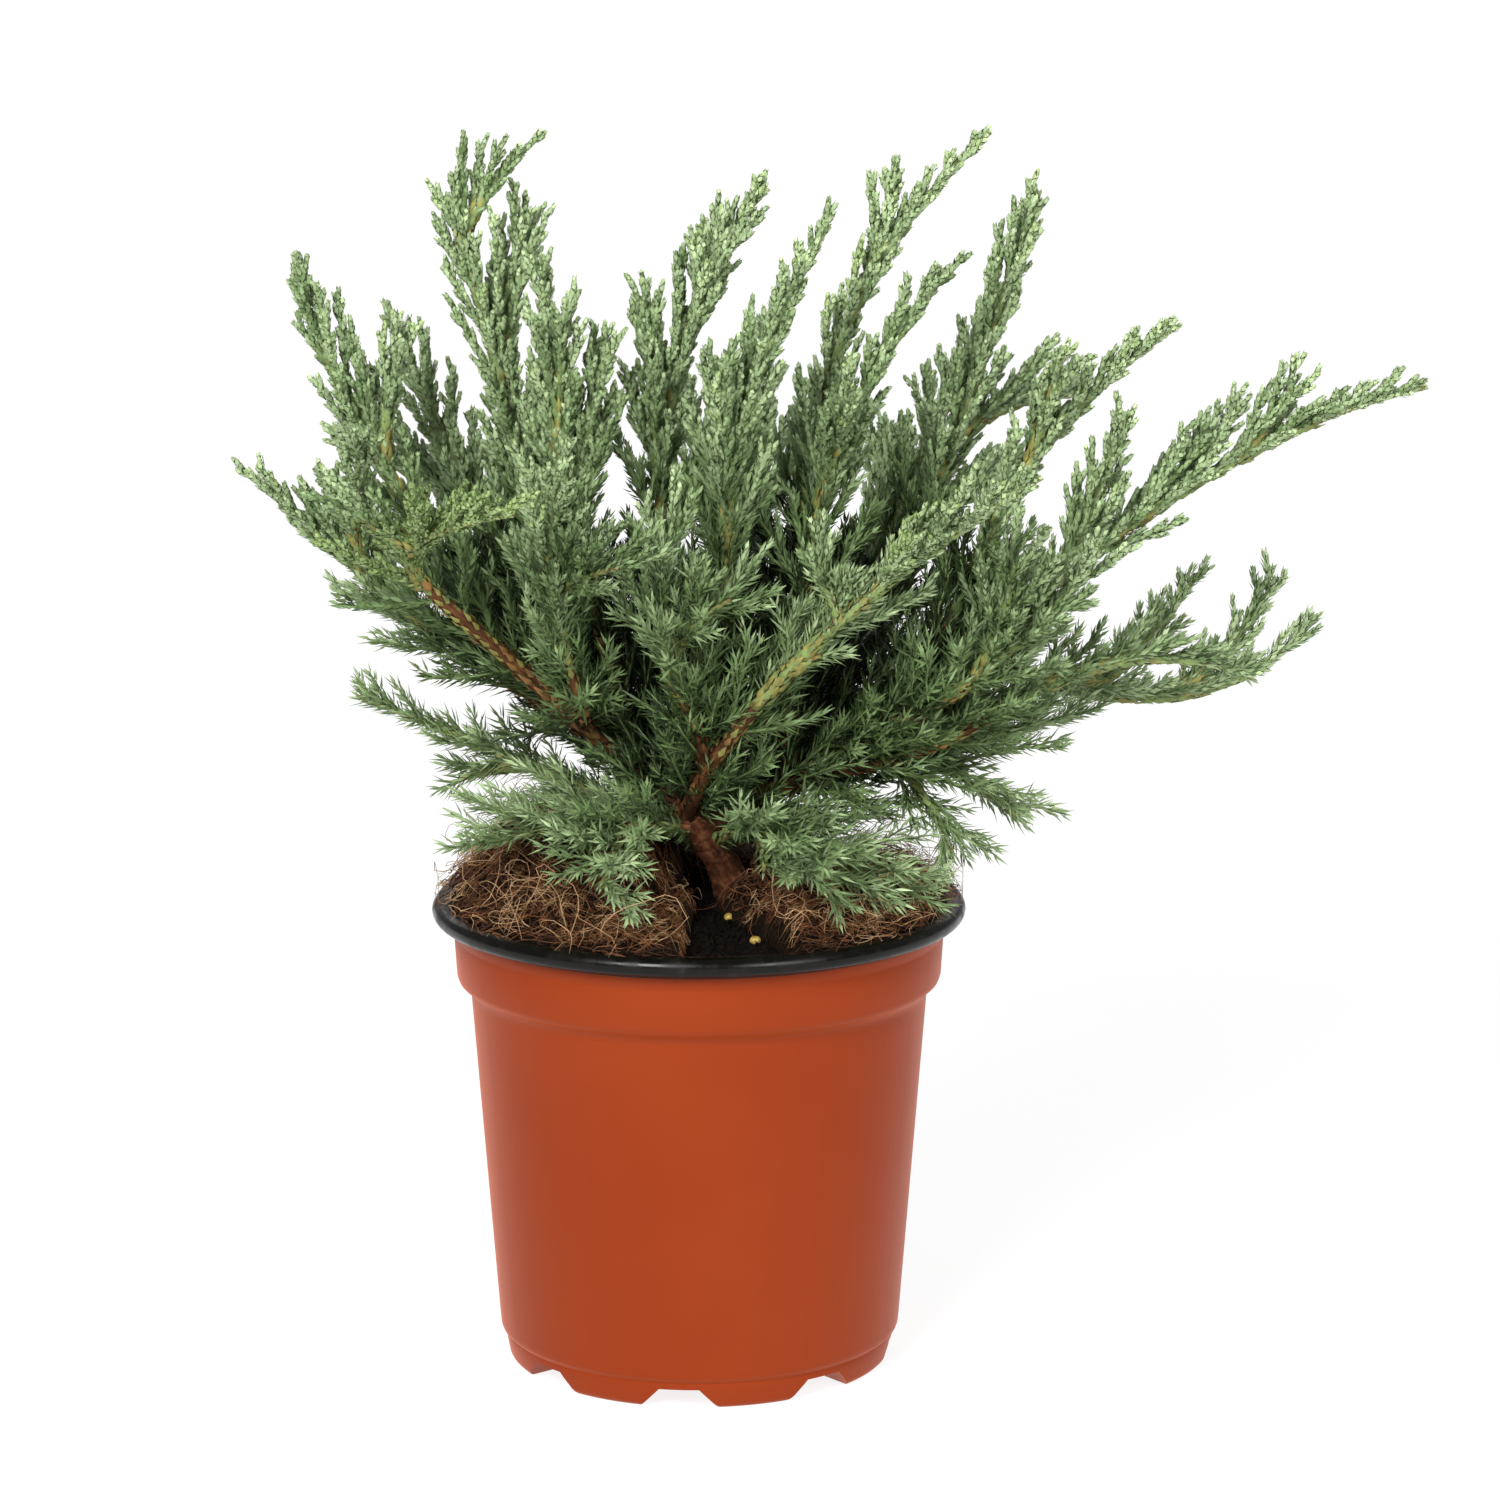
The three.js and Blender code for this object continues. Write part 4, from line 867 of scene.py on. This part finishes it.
# Each pair holds the value where growth is juvenile and where it is ripe. Sizes are the length
# of side growth at a bearer's foot, the pull of its middle and the length at its tip. The span is
# the part of the bearer that bears, pitch is in millimetres along it, and girths are the radii at
# foot and tip.
SPRAYS = {
    "span": (0.04, 0.95), "pitch": (6, 4.8), "sizes": ((38, 40, 22), (40, 38, 9)), "play": 0.2,
    "spread": (0.62, 0.44), "lift": (0.12, 0.3), "girth": ((0.8, 0.35), (0.9, 0.5)),
}
PLUMES = {
    "span": (0.04, 1.0), "pitch": (3, 3), "sizes": ((42, 46, 36), (42, 46, 36)), "play": 0.5,
    "spread": (0.75, 0.75), "lift": (0.16, 0.3), "girth": ((0.8, 0.35), (0.8, 0.35)),
}
COLLAR = {
    "span": (0.55, 1.0), "pitch": (0.6, 0.6), "sizes": ((46, 46, 42), (46, 46, 42)), "play": 0.5,
    "spread": (1.0, 1.0), "lift": (0, 0), "girth": ((0.8, 0.35), (0.8, 0.35)),
}
SKIRT = {**COLLAR, "span": (0.1, 0.7), "pitch": (1.1, 1.1), "spread": (1.25, 1.25), "play": 0.3}
SKIRTED = ("right", "low_right")
BRANCHLETS = {
    "span": (0.1, 0.97), "pitch": (8, 2.3), "sizes": ((14, 20, 6), (5, 8.5, 4.5)), "play": 0.15,
    "spread": (0.55, 0.42), "lift": (0.08, 0.08), "girth": ((0.4, 0.25), (1.05, 0.7)),
}
SHOOT_BRANCHLETS = {**BRANCHLETS, "span": (0.03, 0.985)}
# How long side growth is on some masses, against 1 on the others
FULLNESS = {
    "right_side": 0.5, "right_low": 0.5, "low_left": 0.5, "right_long": 0.75, "right_upper": 0.65,
    "right_tall": 0.7, "right_back": 1.1, "low_right": 0.8,
}
# Growth ripens above a height and beyond a distance from the heart: (from, over, share of it)
CROWN_HEART = np.array([8.0, 10.0, 225.0])
RIPE_ABOVE = (268, 70, 0.75)
RIPE_BEYOND = (95, 85, 0.65)
RIPE_SPREAD = 0.06
# No tip comes above the crown's top, down into the mat or low beside the pot, or before the
# trunk's foot: that window is (middle, half width, top). Tips stop short by their needles' length.
CROWN_TOP = 437
LOWEST_TIP = POT_HEIGHT - 45
OVER_POT = LIP_RADIUS + 6
OVER_MAT = 1.5
FOOT_WINDOW = (8, 14, 200)
TIP_CUT = 5
# Limbs that show their bark to the front, and the span of them that does
BARE_IN_FRONT = ("left_lead", "front")
BARE_BOUGH = (0.22, 1.0)
BARE_TRUNK = (0.0, 0.86)
BARE_SHOOT = (0.0, 0.5)
TO_FRONT = 0.3
# Tones number the needles' colours, from the dark heart to the sunlit tips. They rise outwards from
# the crown's heart and fall towards the middle of its shade.
# The trunk's collar starts paler than the boughs' plumes: painted light against the crown's shade
TRUNK_TONE = 3.3
BOUGH_TONE = 2.1
SHOOT_TONE = 2.0
OUTER_TONE = 2.8
OUTER_RADII = (218.5, 171, 190)
# Low masses get a little painted light, against the shade the crown casts on them
LOW_PAINTED_LIGHT = 0.3
FRONT_TONE = 0.7
YOUNG_TONE = 9
SHADE_HEART = np.array([5.0, 45.0, 268.0])
SHADE_RADII = (125, 80, 80)
SHADE_DEPTH = 4.2
SHADE_FALL = 1.5
# Side growth is paler past a share of its bearer, with painted shade before another: (share, tones)
TIP_PALER = (0.6, 0.8)
FOOT_SHADE = (0.45, 2.4)
TONE_SPREAD = 0.5
SHOOT_TONE_SPREAD = 0.35


def by_age(pair, age):
    """The value between a pair's juvenile and ripe one, for each age from 0 to 1."""
    young, ripe = np.array(pair[0]), np.array(pair[1])
    return young + (ripe - young) * (age[:, None] if young.ndim else age)


def ramp(value, start, over, height):
    return np.clip((value - start) / over, 0, 1) * height


def ripeness(places):
    """0 where needles stay long and spreading, low and inside, to 1 in the scaly upper shoots."""
    rise = ramp(places[:, 2], *RIPE_ABOVE)
    out = ramp(np.linalg.norm(places - CROWN_HEART, axis=1), *RIPE_BEYOND)
    return np.clip(rise + out + chance.normal(0, RIPE_SPREAD, len(places)), 0, 1)


def grown(arcs, tone, girth):
    """Twigs on these arcs, with the length, age and girth that they have there."""
    age = ripeness(arcs[:, 2])
    twigs = {"line": arcs, "length": lengths_of(arcs), "tone": tone, "age": age}
    return {**twigs, "girth": by_age(girth, age), "reach": np.ones(len(arcs))}


def side_growth(bearers, kind, bare=None, bare_span=(0, 0)):
    """Side twigs on each bearer by the source's rule, over the kind's span of its length.

    Bearers marked as bare carry none towards the front over the bare span.
    """
    first, last = kind["span"]
    pitch = by_age(kind["pitch"], bearers["age"])
    counts = np.maximum(1, np.round(bearers["length"] * (last - first) / pitch)).astype(int)
    owner = np.repeat(np.arange(len(counts)), counts)
    order = np.arange(len(owner)) - np.repeat(np.cumsum(counts) - counts, counts)
    share = first + (last - first) * (order + chance.uniform(*PITCH_PLAY, len(owner))) / counts[owner]
    turn = chance.uniform(0, 2 * np.pi, len(counts))[owner] + GOLDEN_TURN * order
    turn += chance.normal(0, TURN_SPREAD, len(owner))
    root, along = on_arcs(bearers["line"][owner], share)
    age = ripeness(root)
    at_foot, at_middle, at_tip = by_age(kind["sizes"], age).T
    size = at_foot * (1 - share) ** 2 + 2 * at_middle * share * (1 - share) + at_tip * share**2
    size *= chance.uniform(*SPRAY_SIZES, len(owner)) * bearers["reach"][owner]
    longest = LONGEST_SPRAY[0] * bearers["length"][owner] + LONGEST_SPRAY[1]
    size = np.minimum(size, longest)[:, None]
    spread = by_age(kind["spread"], age)[:, None]
    side = np.stack([np.cos(turn), np.sin(turn), np.full(len(turn), SIDE_RISE)], 1)
    side = unit(side - np.sum(side * along, axis=1, keepdims=True) * along)
    spread = spread * chance.uniform(1 - kind["play"], 1 + kind["play"], (len(owner), 1))
    rise = by_age(kind["lift"], age)[:, None] * (0, 0, 1)
    heading = unit(along * np.cos(spread) + side * np.sin(spread) + rise)
    bend = root + heading * size * SPRAY_BEND
    tip = bend + heading * size * SPRAY_END + along * size * SPRAY_ALONG
    x, y, height = tip.T
    clear = height > np.where(np.hypot(x, y) < OVER_POT, mat_top(x, y) + OVER_MAT, LOWEST_TIP)
    clear &= height < CROWN_TOP
    clear &= (np.abs(x - FOOT_WINDOW[0]) >= FOOT_WINDOW[1]) | (y >= 0) | (height >= FOOT_WINDOW[2])
    if bare is not None:
        in_sight = (side[:, 1] < -TO_FRONT) & (share > bare_span[0]) & (share < bare_span[1])
        clear &= ~(bare[owner] & in_sight)
    tone = bearers["tone"][owner] + TIP_PALER[1] * np.maximum(0, share - TIP_PALER[0])
    # Towards its bearer's foot, side growth is darker: painted shade inside the plumes
    tone = tone - FOOT_SHADE[1] * np.maximum(0, FOOT_SHADE[0] - share)
    tone += chance.normal(0, TONE_SPREAD, len(owner))
    return grown(np.stack([root, bend, tip], 1)[clear], tone[clear], kind["girth"])


def in_shade(places):
    """How much darker, in tones, growth is in the crown's depth, where it gets little light."""
    inner = 1 - np.linalg.norm((places - SHADE_HEART) / SHADE_RADII, axis=1)
    return SHADE_DEPTH * np.clip(SHADE_FALL * inner, 0, 1)


def some_of(twigs, chosen):
    return {key: value[chosen] for key, value in twigs.items()}


def cut_back(line):
    """The same arc, shorter by the needles that reach past its tip."""
    keep = 1 - TIP_CUT / lengths_of(line[None])[0]
    start, bend, end = line
    new_bend = start + (bend - start) * keep
    return np.array([start, new_bend, new_bend + (bend + (end - bend) * keep - new_bend) * keep])


shoot_lines = []
for name, (tip, middle, *forks) in MASSES.items():
    bearer, share = BEARERS.get(name, (name, 1))
    start, heading = walk(limbs[bearer], share)
    main = arc_through(start, middle, tip) if middle else curl_to(start, heading, tip)
    shoot_lines.append(cut_back(main))
    for fork_share, tip in forks:
        fork, along = walk(main, fork_share)
        leaving = unit(unit(np.array(tip, float) - fork) * FORK_TURN + along)
        shoot_lines.append(cut_back(curl_to(fork, leaving, tip)))
shoot_lines = np.array(shoot_lines)
shoot_owner = [name for name, (_, _, *forks) in MASSES.items() for _ in range(1 + len(forks))]
outer_part = np.linalg.norm((shoot_lines[:, 2] - CROWN_HEART) / OUTER_RADII, axis=1)
shoot_tone = SHOOT_TONE + OUTER_TONE * np.clip(outer_part, 0, 1)
shoot_tone = shoot_tone + chance.normal(0, SHOOT_TONE_SPREAD, len(shoot_lines))
# Low masses get a little painted light, and the front mass a paler tone
for i, name in enumerate(shoot_owner):
    shoot_tone[i] += LOW_PAINTED_LIGHT if name.startswith("low_") else FRONT_TONE if name == "front" else 0
shoot_tone[shoot_owner.index("left_lead")] = YOUNG_TONE
shoots = grown(shoot_lines, shoot_tone, (SHOOT_GIRTH, SHOOT_GIRTH))
shoots["reach"] = np.array([FULLNESS.get(name, 1) for name in shoot_owner])
bough_lines = np.array([limbs[name] for name in BOUGHS])
bough_arcs = grown(bough_lines, np.full(len(BOUGHS), BOUGH_TONE), (SHOOT_GIRTH, SHOOT_GIRTH))
bough_arcs["girth"] = np.array([girth for (_, _, _, _, *girth) in BOUGHS.values()])
trunk_arc = grown(limbs["trunk"][None], np.array([TRUNK_TONE]), (SHOOT_GIRTH, SHOOT_GIRTH))
bare_boughs = np.array([name in BARE_IN_FRONT for name in BOUGHS])
bare_shoots = np.array([name == "front" for name in shoot_owner])
skirted = np.array([name in SKIRTED for name in BOUGHS])

plumes = side_growth(bough_arcs, PLUMES, bare_boughs, BARE_BOUGH)
collar = side_growth(trunk_arc, COLLAR, np.array([True]), BARE_TRUNK)
skirt = side_growth(some_of(bough_arcs, skirted), SKIRT)
skirt = some_of(skirt, skirt["line"][:, 2, 2] < skirt["line"][:, 0, 2])
plumes = {key: np.concatenate([plumes[key], skirt[key]]) for key in plumes}
sprays = side_growth(shoots, SPRAYS, bare_shoots, BARE_SHOOT)
branchlets = [side_growth(shoots, SHOOT_BRANCHLETS, bare_shoots, BARE_SHOOT)]
branchlets += [side_growth(bearers, BRANCHLETS) for bearers in (sprays, plumes, collar)]


def stems(name, groups, material):
    """Round twigs of several kinds in one piece: each group is (twigs, sides, steps)."""
    parts = []
    for twigs, sides, steps in groups:
        share = np.tile(np.linspace(0, 1, steps), (len(twigs["line"]), 1))
        foot, tip = twigs["girth"][:, :1], twigs["girth"][:, 1:]
        points, walls, ends = tubes(on_arcs(twigs["line"], share)[0], foot + (tip - foot) * share, sides)
        run = np.repeat((share * twigs["length"][:, None]).ravel(), sides)
        parts.append((points, walls, ends, np.stack([np.zeros(len(run)), run], 1)))
    return merged(name, parts, material)


# Shoot bark: smooth, yellow-green where the sun has not browned it, in patches some 5 mm long
shoot_bark = mottled(
    "green_brown_shoot_bark", {"Scale": 1000 / 5, "Detail": 4},
    [(0.35, "#5d4a28"), (0.5, "#74703d"), (0.62, "#85894d")],
    {"Roughness": 0.7, "Specular IOR Level": 0.3},
)
shoot_stems = stems("shoot_stems", [(shoots, 7, 20)], shoot_bark)
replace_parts(shoot_stems, *FOLIAGE_NODES)

# Twigs and branchlets: side twigs among the awls keep thin green bark. Scaly branchlets are green
# cores as thick as a match, quite hidden by their own leaves. The few on plumes and collar are too
# deep in the crown to show theirs.
SCALY_AGE = 0.45
juvenile = [some_of(group, group["age"] < SCALY_AGE) for group in branchlets]
scaly = [some_of(group, group["age"] >= SCALY_AGE) for group in branchlets]
# Green bark of the year: thin, even and slightly waxy
green_core = mottled(
    "green_branchlet_core", {"Scale": 1000 / 14, "Detail": 3}, [(0.3, "#55683f"), (0.7, "#6f8352")],
    {"Roughness": 0.6, "Specular IOR Level": 0.3},
)
thicker = [(group, 4, 5) for group in (plumes, collar, sprays)]
fine_twigs = stems("fine_twigs", thicker + [(group, 3, 3) for group in juvenile], green_core)
for number, group in enumerate(scaly[:2]):
    half = np.arange(len(group["age"])) % 2 == 0
    for part, chosen in enumerate((half, ~half)):
        name = f"branchlet_cores_{number + 1}_{part + 1}"
        stems(name, [(some_of(group, chosen), 3, 2)], green_core)

# Needles: juvenile awls in threes on the low and inner growth, and short scale-like leaves that
# lie along the shoots above, all under a grey wax bloom. Awls are keeled, with four faces, and
# scales are folded, with two, as are the darkest awls, deep in the crown.
AWL = {"length": 8.2, "width": 1.08, "angle": 0.72, "spacing": 2.7}
SCALE = {"length": 2.5, "width": 1.65, "angle": 0.3, "spacing": 1.15}
NEEDLE_LENGTHS = (0.8, 1.12)
NEEDLE_WIDTHS = (0.85, 1.1)
LEAF_TURN_SPREAD = 0.16
ANGLE_SPREAD = 0.09
TIP_CLOSED = 0.5
TIP_SHORTER = 0.35
# In shares of its length: where a leaf is widest, and how far its tip bends in. In shares of its
# width: how far an awl's keel stands out, and how far a scale's edges fold in and its foot is raised.
AWL_FORM = {"widest": 0.34, "bent": 0.04, "keel": 0.34}
SCALE_FORM = {"widest": 0.42, "bent": 0.1, "folded": 0.16, "raised": 0.2}
# From the crown's dark heart to its sunlit tips, and last the yellower green of the youngest shoot
NEEDLE_TONES = [
    "#1b2610", "#2e3f1f", "#54673c", "#697f52", "#7d9165", "#8c9f74", "#a2b486", "#8fa46a",
]
BLOOM = 1.12
TONE_RISE = 1.4
PIECE_FACES = 190000


def leaf_places(twigs, spacing, depth=0.75):
    """Rings of three leaves: owner twig, share along it, foot on its skin, heading, way out."""
    rows = np.maximum(2, twigs["length"] / spacing).astype(int)
    owner = np.repeat(np.arange(len(rows)), rows * 3)
    order = np.arange(len(owner)) - np.repeat(np.cumsum(rows * 3) - rows * 3, rows * 3)
    share = (order // 3 + chance.uniform(*PITCH_PLAY, len(owner))) / rows[owner]
    place, along = on_arcs(twigs["line"][owner], share)
    normal = unit(square_to(along))
    binormal = np.cross(along, normal)
    turn = chance.uniform(0, 2 * np.pi, len(rows))[owner]
    turn = turn + (order // 3) * np.pi / 3 + order % 3 * 2 * np.pi / 3
    turn += chance.normal(0, LEAF_TURN_SPREAD, len(owner))
    out = normal * np.cos(turn)[:, None] + binormal * np.sin(turn)[:, None]
    at_foot, at_tip = twigs["girth"][owner].T
    radius = at_foot + (at_tip - at_foot) * share
    return owner, share, place + out * depth * radius[:, None], along, out


def leant(along, out, angle):
    """Headings and outer sides of leaves that stand off their twig by an angle."""
    angle = angle[:, None]
    return along * np.cos(angle) + out * np.sin(angle), out * np.cos(angle) - along * np.sin(angle)


def leaf_measure(which, age):
    """A measure of leaves by their age: an awl's at 0, a scale's at 1."""
    return AWL[which] + (SCALE[which] - AWL[which]) * age


def needles_on(twigs):
    """Foot, heading, outer side, length, width, age and tone of every needle on the twigs.

    Towards a twig's tip they close on it and get shorter and paler.
    """
    owner, share, foot, along, out = leaf_places(twigs, leaf_measure("spacing", twigs["age"]))
    age = twigs["age"][owner]
    closing = share**3
    angle = leaf_measure("angle", age) * (1 - TIP_CLOSED * closing)
    heading, outer = leant(along, out, angle + chance.normal(0, ANGLE_SPREAD, len(owner)))
    length = leaf_measure("length", age) * (1 - TIP_SHORTER * closing)
    length = length * chance.uniform(*NEEDLE_LENGTHS, len(owner))
    width = leaf_measure("width", age) * chance.uniform(*NEEDLE_WIDTHS, len(owner))
    tone = (twigs["tone"] - in_shade(twigs["line"][:, 2]))[owner] + TONE_RISE * (share - 0.5)
    return foot, heading, outer, length, width, age, tone


def awls(foot, heading, outer, length, width):
    """A keeled blade: foot, left and right edge, keel and incurved tip, in four faces."""
    cross = np.cross(heading, outer)
    middle = foot + heading * length * AWL_FORM["widest"]
    tip = foot + heading * length - outer * length * AWL_FORM["bent"]
    edges = [middle - cross * width / 2, middle + cross * width / 2]
    keel = middle + outer * width * AWL_FORM["keel"]
    return np.stack([foot, *edges, keel, tip], 1), np.array([(0, 3, 1), (0, 2, 3), (4, 1, 3), (4, 3, 2)])


def scales(foot, heading, outer, length, width):
    """A leaf folded along its back: foot, left and right edge and incurved tip, in two faces."""
    cross = np.cross(heading, outer)
    middle = foot + heading * length * SCALE_FORM["widest"] - outer * width * SCALE_FORM["folded"]
    tip = foot + heading * length - outer * length * SCALE_FORM["bent"]
    raised = foot + outer * width * SCALE_FORM["raised"]
    points = [raised, middle - cross * width / 2, middle + cross * width / 2, tip]
    return np.stack(points, 1), np.array([(0, 3, 1), (0, 2, 3)])


def blades_piece(name, shape, leaves, material):
    """One piece of all these leaves: (foot, heading, outer side, length, width) in rows."""
    foot, heading, outer, length, width = leaves
    points, pattern = shape(foot, heading, outer, length[:, None], width[:, None])
    faces = pattern[None] + points.shape[1] * np.arange(len(foot))[:, None, None]
    piece = joined(name, points.reshape(-1, 3), [faces.reshape(-1, 3)], material)
    return piece


def shade_of(colour, times):
    parts = [min(255, int(int(colour[i : i + 2], 16) * times)) for i in (1, 3, 5)]
    return "#" + "".join(f"{part:02x}" for part in parts)


leafy = [shoots, plumes, collar, sprays, *branchlets]
gathered = [np.concatenate(column) for column in zip(*[needles_on(twigs) for twigs in leafy])]
age, tone = gathered[5:]
tone = np.clip(np.round(tone), 0, len(NEEDLE_TONES) - 1).astype(int)
# Leaf under wax: half matt, with soft highlights, and paler in patches where the bloom is whole
for number, colour in enumerate(NEEDLE_TONES):
    wax = mottled(
        f"waxy_needle_tone_{number + 1}", {"Scale": 1000 / 14, "Detail": 3},
        [(0.3, colour), (0.7, shade_of(colour, BLOOM))], {"Roughness": 0.48, "Specular IOR Level": 0.42},
    )
    for kind, shape, of_kind in (("awl", awls, age < SCALY_AGE), ("scale", scales, age >= SCALY_AGE)):
        chosen = np.flatnonzero((tone == number) & of_kind)
        per_piece = PIECE_FACES // (4 if kind == "awl" else 2)
        for part in range(0, len(chosen), per_piece):
            some = chosen[part : part + per_piece]
            name = f"{kind}_needles_tone_{number + 1}_{part // per_piece + 1}"
            leaf = shape if number else scales
            blades = blades_piece(name, leaf, [column[some] for column in gathered[:5]], wax)
            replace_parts(blades, *FOLIAGE_NODES)

# Dry leaf bases: the feet of shed leaves stay on boughs and on the foot of each shoot as long
# papery scales that overlap like strands of a rope, red-brown, then tan, then yellow-green.
LEAF_BASE = {"length": 7.5, "width": 3.0, "angle": 0.16, "spacing": 2.2}
BASE_TONES = ["#52321f", "#744a2b", "#967040", "#95904f", "#7f9156"]
BASE_STAIN = 0.75
BASE_ANGLE_SPREAD = 0.05
BASE_TONE_SPREAD = 0.4
BASE_SIZES = (0.7, 1.2)
BASES_SMALLER = 0.35
LIMBS_WITH_BASES = [
    # (bearers, tone at their foot, tones more at their tip, share of their length)
    (bough_arcs, 0.2, 3.2, 1.0),
    (shoots, 3.1, 1.5, 0.75),
]
bases = [[] for _ in BASE_TONES]
for bearers, first_tone, tone_rise, last in LIMBS_WITH_BASES:
    owner, share, foot, along, out = leaf_places(bearers, LEAF_BASE["spacing"], 1.0)
    angle = LEAF_BASE["angle"] + chance.normal(0, BASE_ANGLE_SPREAD, len(owner))
    heading, outer = leant(along, out, angle)
    tone = first_tone + tone_rise * share + chance.normal(0, BASE_TONE_SPREAD, len(owner))
    tone = np.clip(np.round(tone), 0, len(BASE_TONES) - 1)
    size = chance.uniform(*BASE_SIZES, len(owner)) * (1 - BASES_SMALLER * share)
    leaves = (foot, heading, outer, LEAF_BASE["length"] * size, LEAF_BASE["width"] * size)
    for number, kept in enumerate(bases):
        chosen = (tone == number) & (share < last)
        kept.append([column[chosen] for column in leaves])
# Dead leaf tissue: dry as paper, stained darker in spots of a few millimetres
for number, (colour, kept) in enumerate(zip(BASE_TONES, bases)):
    papery = mottled(
        f"papery_leaf_base_tone_{number + 1}", {"Scale": 1000 / 4, "Detail": 4},
        [(0.35, shade_of(colour, BASE_STAIN)), (0.6, colour)],
        {"Roughness": 0.7, "Specular IOR Level": 0.25},
    )
    columns = [np.concatenate(column) for column in zip(*kept)]
    blades_piece(f"leaf_bases_tone_{number + 1}", awls, columns, papery)
